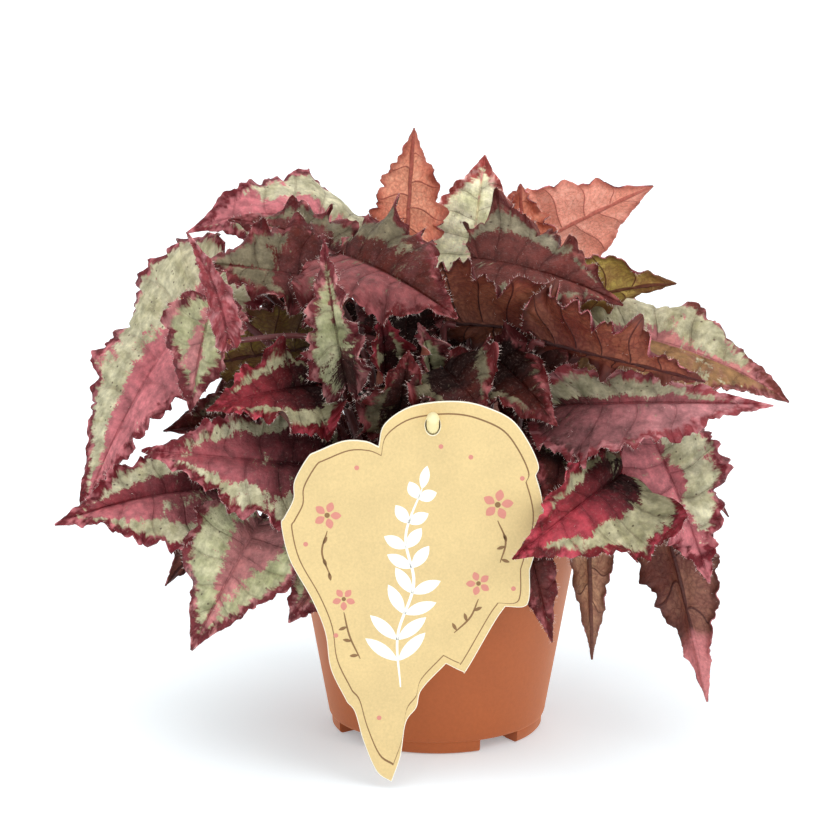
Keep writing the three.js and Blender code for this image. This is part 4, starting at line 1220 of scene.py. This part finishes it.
def smooth_line(points, count):
    """A centripetal Catmull-Rom line through points."""
    p = np.array(points, float)
    p = np.vstack((2 * p[0] - p[1], p, 2 * p[-1] - p[-2]))
    knots = np.concatenate(((0,), np.cumsum(np.linalg.norm(np.diff(p, axis=0), axis=1) ** 0.5)))
    line = []
    for u in np.linspace(knots[1], knots[-2] - 1e-6, count):
        i = np.searchsorted(knots, u, side="right") - 1
        t0, t1, t2, t3 = knots[i - 1 : i + 3]
        a1 = (t1 - u) / (t1 - t0) * p[i - 1] + (u - t0) / (t1 - t0) * p[i]
        a2 = (t2 - u) / (t2 - t1) * p[i] + (u - t1) / (t2 - t1) * p[i + 1]
        a3 = (t3 - u) / (t3 - t2) * p[i + 1] + (u - t2) / (t3 - t2) * p[i + 2]
        b1 = (t2 - u) / (t2 - t0) * a1 + (u - t0) / (t2 - t0) * a2
        b2 = (t3 - u) / (t3 - t1) * a2 + (u - t1) / (t3 - t1) * a3
        line.append((t2 - u) / (t2 - t1) * b1 + (u - t1) / (t2 - t1) * b2)
    return np.array(line)


def stalk_line(form, radius):
    """The stalk's path from the soil to the underside of the blade."""
    foot = np.array((*form.foot, STALK_FOOT))
    bend = np.array((*form.foot, STALK_BEND))
    point, normal, _ = spine(form)(np.array((0.0, 0.06)))
    low, end = point - normal * radius * 0.9
    via = bend + (low - bend) * 0.55
    via[2] = max(via[2] + 0.12 * np.linalg.norm(low - bend), STALK_MIDDLE)
    if form.via:
        via = np.array(form.via, float)
    return smooth_line((foot, bend, via, low, end), STALK_STEPS)


class BEGONIA_OT_blades(bpy.types.Operator):
    """Builds every leaf blade with its lobed, frilled edge."""

    bl_idname = "begonia.blades"
    bl_label = "Leaf Blades"

    def execute(self, context):
        tops = {livery: blade_top(livery) for livery in TOPS}
        unders = {livery: blade_underside(livery) for livery in UNDERS}
        for number, (name, form) in enumerate(FORMS.items()):
            look = LOOKS[name]
            rows = int(np.clip(math.dist(form.base, form.tip) * ROWS_IN_MM, *ROWS))
            if name.startswith(HIDDEN):
                rows = HIDDEN_ROWS
            if name in FULLER:
                form = form._replace(halves=tuple(FULLER_BY * half for half in form.halves))
            dice = np.random.default_rng(BLADE_SEED + number)
            mesh = blade_mesh(name, form, look, rows, context.scene.begonia_sizes, dice)
            piece = plain_object(f"blade_{name}", mesh, (tops[look.top], unders[look.under]))
            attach(piece, "root")
            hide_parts(f"leaf_{name}")
        return {"FINISHED"}


class BEGONIA_OT_stalks(bpy.types.Operator):
    """Builds the leaf stalks, tapered from the soil to the blades."""

    bl_idname = "begonia.stalks"
    bl_label = "Leaf Stalks"

    def execute(self, context):
        sizes = context.scene.begonia_sizes
        lines, girths = [], []
        for form in FORMS.values():
            slim = 0.75 if max(form.halves) < 15 else 1.0
            lines.append(stalk_line(form, sizes.stalk / MM * slim))
            girths.append(sizes.stalk * slim * np.linspace(1.0, 0.72, STALK_STEPS))
        edges = [(k, k + 1) for k in range(len(lines) * STALK_STEPS) if (k + 1) % STALK_STEPS]
        source = mesh_from("stalk_lines", np.concatenate(lines), edges)
        add_attribute(source, "girth", "FLOAT", "POINT", girths)
        # Fleshy stalk: rose-red skin with long pale streaks, moist enough for a soft shine
        paint = flecked(
            "Begonia stalk, rose-red skin", context.scene.begonia_colours.stalk, 900, 0.35, 0.42, 0.0002,
            stretch=(1.0, 1.0, 0.25),
        )
        mesh = mesh_of("stalks", source, stalk_tree(), Sides=10, Material=paint)
        add_attribute(mesh, "hairy", "FLOAT", "FACE", np.full(len(mesh.polygons), 0.05))
        piece = plain_object("stalks", mesh)
        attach(piece, "root")
        return {"FINISHED"}


class BEGONIA_OT_bristles(bpy.types.Operator):
    """Sets the fine pale hairs along the leaf edges and on the stalks."""

    bl_idname = "begonia.bristles"
    bl_label = "Bristles"

    def execute(self, context):
        sizes = context.scene.begonia_sizes
        # Hair: a pale, clear bristle, drawn 0.16 mm thick, about twice its real thickness, so that it shows
        paint = flecked(
            "Begonia bristle, pale and clear", context.scene.begonia_colours.bristle, 3000, 0.2, 0.5, 0.00002
        )
        tree = bristle_tree()
        names = list(FORMS)
        thirds = (names[:17], names[17:34], names[34:])
        groups = [[bpy.data.objects[f"blade_{name}"] for name in part] for part in thirds]
        groups.append([bpy.data.objects["stalks"]])
        for number, group in enumerate(groups):
            source = bmesh.new()
            for grown in group:
                source.from_mesh(grown.data)
            ground = mesh_from_bmesh(f"bristle_ground_{number}", source)
            hair = mesh_of(
                f"bristles_{number}", ground, tree, Density=2.6e6, Length=sizes.bristle_length,
                Radius=sizes.bristle_radius, Seed=number, Material=paint,
            )
            piece = plain_object(f"bristles_{number}", hair)
            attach(piece, "root")
        return {"FINISHED"}


# Pot and soil


def turned_mesh(name, profile, segments):
    """A closed turned body: the profile runs from the axis back to the axis, (radius, height)."""
    points, faces, rings = [], [], []
    for radius, height in profile:
        if radius == 0:
            rings.append([len(points)] * segments)
            points.append((0, 0, height))
            continue
        rings.append([len(points) + k for k in range(segments)])
        turn = np.arange(segments) * 2 * math.pi / segments
        ring = (radius * np.cos(turn), radius * np.sin(turn), np.full(segments, height))
        points += np.stack(ring, -1).tolist()
    for low, high in zip(rings, rings[1:]):
        for k in range(segments):
            after = (k + 1) % segments
            # At the axis two corners are one
            faces.append(tuple(dict.fromkeys((low[k], low[after], high[after], high[k]))))
    return mesh_from(name, points, faces=faces)


class BEGONIA_OT_pot(bpy.types.Operator):
    """Builds the moulded nursery pot with its rim band, foot ring and drain holes."""

    bl_idname = "begonia.pot"
    bl_label = "Nursery Pot"

    def execute(self, context):
        low, high = np.array(POT_FOOT[-1]), np.array(WALL_TOP)
        wall = [tuple(low + (high - low) * k / WALL_STEPS) for k in range(1, WALL_STEPS + 1)]
        body = plain_object("pot_shell", turned_mesh("pot_shell", (*POT_FOOT, *wall, *POT_RIM), 160))
        # Each gap is cut by a block across the foot ring, 33 to 49 mm out and up to 5 mm above the ground
        cutters = bmesh.new()
        for i in range(4):
            gap = bmesh.ops.create_cube(cutters, size=1.0)["verts"]
            for corner in gap:
                corner.co = Vector((corner.co.x * GAP_WIDTH, corner.co.y * 16 - 41, corner.co.z * 6 + 2))
            turn = Matrix.Rotation(math.radians(FIRST_GAP + 90 * i), 4, "Z")
            bmesh.ops.rotate(cutters, verts=gap, matrix=turn)
        turns = [math.radians(FIRST_GAP + 45 + 90 * i) for i in range(4)]
        spots = [(DRAIN_RING * math.sin(turn), -DRAIN_RING * math.cos(turn), 5) for turn in turns]
        for spot in (*spots, (0, 0, 5)):
            drain = bmesh.ops.create_cone(
                cutters, cap_ends=True, segments=24, radius1=DRAIN_RADIUS, radius2=DRAIN_RADIUS, depth=12
            )["verts"]
            bmesh.ops.translate(cutters, verts=drain, vec=Vector(spot))
        cutters.transform(Matrix.Translation(POT_AXIS) @ Matrix.Scale(MM, 4))
        tool = plain_object("pot_cutters", mesh_from_bmesh("pot_cutters", cutters))
        cut = body.modifiers.new("Gaps and drain holes", "BOOLEAN")
        cut.object = tool
        cut.solver = "MANIFOLD"
        made = settled("pot_shell", body)
        bpy.data.objects.remove(tool)
        made.materials.clear()
        made.polygons.foreach_set("material_index", np.zeros(len(made.polygons), int))
        made.set_sharp_from_angle(angle=math.radians(40))
        # Pot: injection-moulded polypropylene in a terracotta colour, satin with a fine mould grain,
        # whose moulded skin scatters light where it turns away
        scatter = {
            "Specular IOR Level": 0.3, "Sheen Weight": 0.7, "Sheen Roughness": 0.45,
            "Sheen Tint": linear("#f09a62"),
        }
        paint = flecked(
            "Nursery pot, terracotta polypropylene", context.scene.begonia_colours.pot, 700, 0.07, 0.46,
            0.00012, ior=1.49, finish=scatter,
        )
        piece = plain_object("pot_shell", made, (paint,))
        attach(piece, "root")
        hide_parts("pot")
        return {"FINISHED"}


class BEGONIA_OT_soil(bpy.types.Operator):
    """Builds the potting soil: a lumpy plug with loose crumbs on top."""

    bl_idname = "begonia.soil"
    bl_label = "Potting Soil"

    def execute(self, context):
        dice = np.random.default_rng(SOIL_SEED)
        surface = [(r, SOIL_TOP) for r in np.linspace(56.4, 3, 26)]
        mesh = turned_mesh("soil_plug", (*SOIL_SIDE, *surface, (0, SOIL_TOP)), 120)
        places = np.zeros(len(mesh.vertices) * 3)
        mesh.vertices.foreach_get("co", places)
        places = places.reshape(-1, 3)
        flat = (places - np.array(POT_AXIS)) / MM
        heave = np.zeros(len(flat))
        for size, height in HEAVES:
            for _ in range(5):
                way = dice.uniform(0, 2 * math.pi)
                wave = (flat[:, 0] * math.cos(way) + flat[:, 1] * math.sin(way)) * 2 * math.pi / size
                heave += height * np.sin(wave + dice.uniform(0, 6)) / 2.2
        top = flat[:, 2] > SOIL_TOP - 0.2
        places[top, 2] += heave[top] * MM * np.clip((56.5 - np.hypot(flat[top, 0], flat[top, 1])) / 6, 0.1, 1)
        mesh.vertices.foreach_set("co", places.ravel())
        # Soil: moist peat compost, crumbs of 1 to 3 mm, almost without shine
        paint = flecked(
            "Potting soil, moist peat", context.scene.begonia_colours.soil, 500, 0.6, 0.9, 0.0012, ior=1.35
        )
        plug = plain_object("soil_plug", mesh, (paint,))
        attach(plug, "root")
        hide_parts("soil")
        radius = 55 * np.sqrt(dice.uniform(0, 1, CRUMBS))
        way = dice.uniform(0, 2 * math.pi, CRUMBS)
        height = dice.uniform(*CRUMB_HEIGHTS, CRUMBS)
        spots = np.stack((radius * np.cos(way), radius * np.sin(way), height), -1)
        source = mesh_from("crumb_spots", spots)
        add_attribute(source, "turn", "FLOAT_VECTOR", "POINT", dice.uniform(0, 6.28, (CRUMBS, 3)))
        sizes = dice.uniform(0.35, 1.25, (CRUMBS, 1)) * dice.uniform(0.6, 1.3, (CRUMBS, 3))
        add_attribute(source, "size", "FLOAT_VECTOR", "POINT", sizes)
        crumb = bmesh.new()
        bmesh.ops.create_icosphere(crumb, subdivisions=1, radius=CRUMB_RADIUS * MM)
        copied = plain_object("crumb", mesh_from_bmesh("crumb", crumb))
        made = mesh_of("soil_crumbs", source, copies_tree(), Copied=copied, Material=paint)
        bpy.data.objects.remove(copied)
        piece = plain_object("soil_crumbs", made)
        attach(piece, "root")
        return {"FINISHED"}


# Tag


def card_outline(steps=7):
    """The card's edge, going clockwise, as (across, up) from the peg hole."""
    outline = []
    for run in CARD_EDGE:
        p = np.array([(2 * run[0][0] - run[1][0], 2 * run[0][1] - run[1][1]), *run], float)
        p = np.vstack((p, 2 * p[-1] - p[-2]))
        for i in range(1, len(p) - 2):
            for u in np.linspace(0, 1, steps, endpoint=False):
                a, b, c, d = p[i - 1 : i + 3]
                curve = (2 * a - 5 * b + 4 * c - d) * u**2 + (3 * b - a - 3 * c + d) * u**3
                outline.append(0.5 * (2 * b + (c - a) * u + curve))
    return np.array(outline)


def on_card(flat, depth):
    """Where (across, up) points lie at a depth before the card's back, in millimetres from the pot's axis."""
    flat = np.asarray(flat, float)
    y = -depth * math.cos(CARD_LEAN) + flat[:, 1] * math.sin(CARD_LEAN)
    z = depth * math.sin(CARD_LEAN) + flat[:, 1] * math.cos(CARD_LEAN)
    return np.stack((flat[:, 0], y, z), -1) + np.array(CARD_HOLE)


def plate_mesh(name, outlines, low, high, hole=None):
    """Closed flat plates between two depths on the card, from outlines of (across, up) points."""
    made = bmesh.new()
    for outline in outlines:
        rings = [np.asarray(outline, float)] + ([np.asarray(hole, float)] if hole is not None else [])
        edges = []
        for ring in rings:
            corners = [made.verts.new(p) for p in in_frame(on_card(ring, high))]
            edges += [made.edges.new((corners[k - 1], corners[k])) for k in range(len(corners))]
        sheet = bmesh.ops.triangle_fill(made, use_beauty=True, use_dissolve=False, edges=edges)
        faces = [f for f in sheet["geom"] if isinstance(f, bmesh.types.BMFace)]
        back = bmesh.ops.extrude_face_region(made, geom=faces, use_keep_orig=True)
        moved = [g for g in back["geom"] if isinstance(g, bmesh.types.BMVert)]
        push = (on_card([(0, 0)], low) - on_card([(0, 0)], high))[0] * MM
        bmesh.ops.translate(made, verts=moved, vec=Vector(push))
    bmesh.ops.recalc_face_normals(made, faces=made.faces[:])
    return mesh_from_bmesh(name, made)


def ribbon(line, width):
    """The outline of a thin stroke along a line of (across, up) points, pointed at both ends."""
    line = np.asarray(line, float)
    along = unit(np.gradient(line, axis=0))
    side = np.stack((-along[:, 1], along[:, 0]), -1)
    girth = width / 2 * np.sin(np.linspace(0.12, math.pi - 0.12, len(line)))[:, None] ** 0.4
    return np.vstack((line + side * girth, (line - side * girth)[::-1]))


def leaflet(at, turn, length, width):
    """The outline of an almond-shaped leaflet that starts at a point."""
    u = np.linspace(0, 1, 9)
    bow = width / 2 * np.sin(math.pi * u) ** 0.8
    shape = np.vstack((np.stack((u * length, bow), -1), np.stack((u * length, -bow), -1)[::-1][1:-1]))
    c, s = math.cos(turn), math.sin(turn)
    return shape @ np.array(((c, s), (-s, c))) + np.asarray(at, float)


def dot(at, radius, sides=12):
    """The outline of a round spot."""
    turn = np.arange(sides) * 2 * math.pi / sides
    return np.stack((np.cos(turn), np.sin(turn)), -1) * radius + np.asarray(at, float)


class BEGONIA_OT_card(bpy.types.Operator):
    """Builds the leaf-shaped card tag with its pale bevelled cut edge, painted near white partly as the
    highlight along the bevel.
    """

    bl_idname = "begonia.card"
    bl_label = "Card Tag"

    def execute(self, context):
        colours = context.scene.begonia_colours
        turn = np.arange(28) * 2 * math.pi / 28
        hole = np.stack((PEG_HOLE[0] * np.cos(turn), PEG_HOLE[1] * np.sin(turn)), -1)
        mesh = plate_mesh("tag_board", [card_outline()], 0, CARD_THICK, hole)
        # Card: uncoated kraft board with a fibre grain of about 0.5 mm and a pale, freshly cut edge, whose
        # near white colour is partly a painted highlight along the bevel
        board_paint = flecked("Card, uncoated kraft board", colours.card, 1100, 0.08, 0.85, 0.00006, ior=1.5)
        edge_paint = flecked("Card, pale cut edge", colours.card_edge, 2500, 0.04, 0.9, 0.00005, ior=1.5)
        piece = plain_object("tag_board", mesh, (board_paint, edge_paint))
        front = Vector((0, -math.cos(CARD_LEAN), math.sin(CARD_LEAN)))
        board = bmesh.new()
        board.from_mesh(mesh)
        around = [
            edge for edge in board.edges
            if sorted(face.normal @ front > 0.9 for face in edge.link_faces) == [False, True]
        ]
        bmesh.ops.bevel(board, geom=around, offset=CARD_BEVEL * MM, segments=1, affect="EDGES")
        board.to_mesh(mesh)
        board.free()
        for polygon in mesh.polygons:
            polygon.material_index = int(abs(polygon.normal @ front) < 0.9)
        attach(piece, "root")
        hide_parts("tag_card")
        return {"FINISHED"}


class BEGONIA_OT_print(bpy.types.Operator):
    """Prints a sprig, blossoms, berries and a thin frame line on the card."""

    bl_idname = "begonia.print"
    bl_label = "Card Print"

    def execute(self, context):
        colours = context.scene.begonia_colours
        white, brown, rose = [], [], []
        stem = smooth_line(SPRIG, 40)
        white.append(ribbon(stem, 1.1))
        # Eight pairs of leaflets that shrink towards the tip, and one at the end
        for k, place in enumerate(np.linspace(5, 37, 8).astype(int)):
            along = stem[place] - stem[place - 1]
            turn = math.atan2(along[1], along[0])
            length = 15 - 1.1 * k
            white += [leaflet(stem[place], turn + spread, length, 4.6) for spread in (0.85, -0.85)]
        white.append(leaflet(stem[-1], 1.35, 9, 3.6))
        for at, size in BLOSSOMS:
            # Five petals around a brown eye
            for k in range(5):
                turn = 2 * math.pi * k / 5 + at[0]
                start = np.array(at) + 1.3 * size * np.array((math.cos(turn), math.sin(turn)))
                rose.append(leaflet(start, turn, 4.6 * size, 3.2 * size))
            brown.append(dot(at, 1.1 * size))
        for line in TWIGS:
            twig = smooth_line(line, 14)
            brown.append(ribbon(twig, 0.7))
            # Three leaflets, each turned another way
            for place in (4, 8, 12):
                brown.append(leaflet(twig[place], twig[place][0] + place, 3.4, 1.3))
        rose += [dot(at, 0.9) for at in BERRIES]
        low, high = CARD_THICK - 0.03, CARD_THICK + 0.03
        around = card_outline(5) - CARD_MIDDLE
        outer, inner = (around * share + CARD_MIDDLE for share in FRAME_LINE)
        line = plate_mesh("print_frame_line", [outer], low, high, inner)
        ink = flecked(
            "Print, frame line in brown matt ink", colours.brown_ink, 1600, 0.05, 0.8, 0.00002, ior=1.5
        )
        piece = plain_object("print_frame_line", line, (ink,))
        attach(piece, "root")
        inks = (
            ("white", white, colours.white_ink),
            ("brown", brown, colours.brown_ink),
            ("rose", rose, colours.rose_ink),
        )
        for number, (label, shapes, colour) in enumerate(inks):
            mesh = plate_mesh(f"print_{label}", shapes, low, high + 0.01 * number)
            # Ink: a thin matt layer that lies on the board
            paint = flecked(f"Print, {label} matt ink", colour, 1600, 0.05, 0.8, 0.00002, ior=1.5)
            piece = plain_object(f"print_{label}", mesh, (paint,))
            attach(piece, "root")
        return {"FINISHED"}


class BEGONIA_OT_stake(bpy.types.Operator):
    """Builds the bent stake whose rounded peg holds the card."""

    bl_idname = "begonia.stake"
    bl_label = "Tag Stake"

    def execute(self, context):
        line = smooth_line(STAKE_LINE, STAKE_STEPS)
        # Both ends are rounded
        ends = np.abs(np.linspace(-1, 1, STAKE_STEPS))
        girth = STAKE_RADIUS * np.sqrt(np.clip(1 - np.clip((ends - 0.93) / 0.07, 0, 1) ** 2, 0.02, 1))
        source = mesh_from("stake_line", line, [(k, k + 1) for k in range(STAKE_STEPS - 1)])
        add_attribute(source, "girth", "FLOAT", "POINT", girth * MM)
        # Stake: injection-moulded cream polystyrene, smooth and a little shiny
        paint = flecked(
            "Stake, cream polystyrene", context.scene.begonia_colours.stake, 600, 0.03, 0.38, 0.00003,
            ior=1.55,
        )
        mesh = mesh_of("stake_rod", source, stalk_tree(), Sides=20, Material=paint)
        piece = plain_object("stake_rod", mesh)
        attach(piece, "root")
        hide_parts("tag_stake")
        return {"FINISHED"}


def stand(name, thing, turn, place=(0, 0, 0)):
    """Puts a lamp or a camera on the stage, turned and at a place in metres."""
    holder = bpy.data.objects.new(name, thing)
    holder.location = place
    holder.rotation_euler = turn
    bpy.context.scene.collection.objects.link(holder)
    return holder


def studio_world():
    """White surroundings that are brighter above than at the sides."""
    world = bpy.data.worlds.new("Studio")
    world.use_nodes = True
    tree = world.node_tree
    above = add(tree, "ShaderNodeTexCoord").outputs["Generated"]
    above = add(tree, "ShaderNodeSeparateXYZ", {"Vector": above}).outputs["Z"]
    bright = add(
        tree, "ShaderNodeMapRange",
        {"Value": above, "From Min": 0.0, "From Max": 0.8, "To Min": 0.6, "To Max": 0.98},
    )
    tree.nodes["Background"].inputs["Color"].default_value = (1.0, 1.0, 1.0, 1.0)
    tree.links.new(bright.outputs[0], tree.nodes["Background"].inputs["Strength"])
    return world


class BEGONIA_OT_stage(bpy.types.Operator):
    """Sets the pale floor, the soft lights and the camera."""

    bl_idname = "begonia.stage"
    bl_label = "Stage"

    def execute(self, context):
        scene = context.scene
        # The floor lies a hair under the pot's feet, in metres
        floor_mesh = bpy.data.meshes.new("floor")
        corners = [(-30, -30, -0.0001), (30, -30, -0.0001), (30, 90, -0.0001), (-30, 90, -0.0001)]
        floor_mesh.from_pydata(corners, [], [(0, 1, 2, 3)])
        # Floor: matt white acrylic board, lit a little from beneath
        glow = {"Emission Color": (0.78, 1.0, 1.07, 1.0), "Emission Strength": 0.26}
        paint = flecked(
            "Studio board, matt white acrylic", linear("#f3f6f8"), 30, 0.01, 0.9, 0.00001, finish=glow
        )
        floor = plain_object("floor", floor_mesh, (paint,))
        scene.world = studio_world()
        sky = bpy.data.lights.new("Soft daylight from above", "SUN")
        sky.energy = 0.8
        sky.angle = math.radians(60)
        stand("Soft daylight from above", sky, (math.radians(22), math.radians(-8), 0))
        for name, place, size, power in LAMPS:
            lamp = bpy.data.lights.new(name, "AREA")
            lamp.size = size
            lamp.energy = power
            aim = (LAMP_AIM - Vector(place)).to_track_quat("-Z", "Y")
            stand(name, lamp, aim.to_euler(), place)
        camera = bpy.data.cameras.new("Camera")
        camera.lens = CAMERA_LENS
        camera.sensor_width = 36
        camera.clip_end = 30
        place = Vector(CAMERA_PLACE) * MM + POT_AXIS
        scene.camera = stand("Camera", camera, (math.radians(90 - CAMERA_TILT), 0, 0), place)
        scene.view_settings.view_transform = "Standard"
        return {"FINISHED"}


class BEGONIA_PT_panel(bpy.types.Panel):
    """Lists the steps that build the plant."""

    bl_idname = "BEGONIA_PT_panel"
    bl_label = "Potted Begonia"
    bl_space_type = "VIEW_3D"
    bl_region_type = "UI"
    bl_category = "Begonia"

    def draw(self, context):
        for step in STEPS:
            self.layout.operator(step.bl_idname)
        for name in BegoniaSizes.__annotations__:
            self.layout.prop(context.scene.begonia_sizes, name)
        for name in BegoniaColours.__annotations__:
            self.layout.prop(context.scene.begonia_colours, name)


STEPS = (
    BEGONIA_OT_stage,
    BEGONIA_OT_pot,
    BEGONIA_OT_soil,
    BEGONIA_OT_blades,
    BEGONIA_OT_stalks,
    BEGONIA_OT_bristles,
    BEGONIA_OT_card,
    BEGONIA_OT_print,
    BEGONIA_OT_stake,
)
CLASSES = (BegoniaSizes, BegoniaColours, *STEPS, BEGONIA_PT_panel)


def register():
    """Makes the classes and their properties known."""
    for kind in CLASSES:
        bpy.utils.register_class(kind)
    bpy.types.Scene.begonia_sizes = bpy.props.PointerProperty(type=BegoniaSizes)
    bpy.types.Scene.begonia_colours = bpy.props.PointerProperty(type=BegoniaColours)


def unregister():
    """Removes the properties and the classes."""
    del bpy.types.Scene.begonia_colours
    del bpy.types.Scene.begonia_sizes
    for kind in reversed(CLASSES):
        bpy.utils.unregister_class(kind)


def main():
    """Builds everything in order."""
    register()
    for step in STEPS:
        group, name = step.bl_idname.split(".")
        getattr(getattr(bpy.ops, group), name)()


if __name__ == "__main__":
    main()
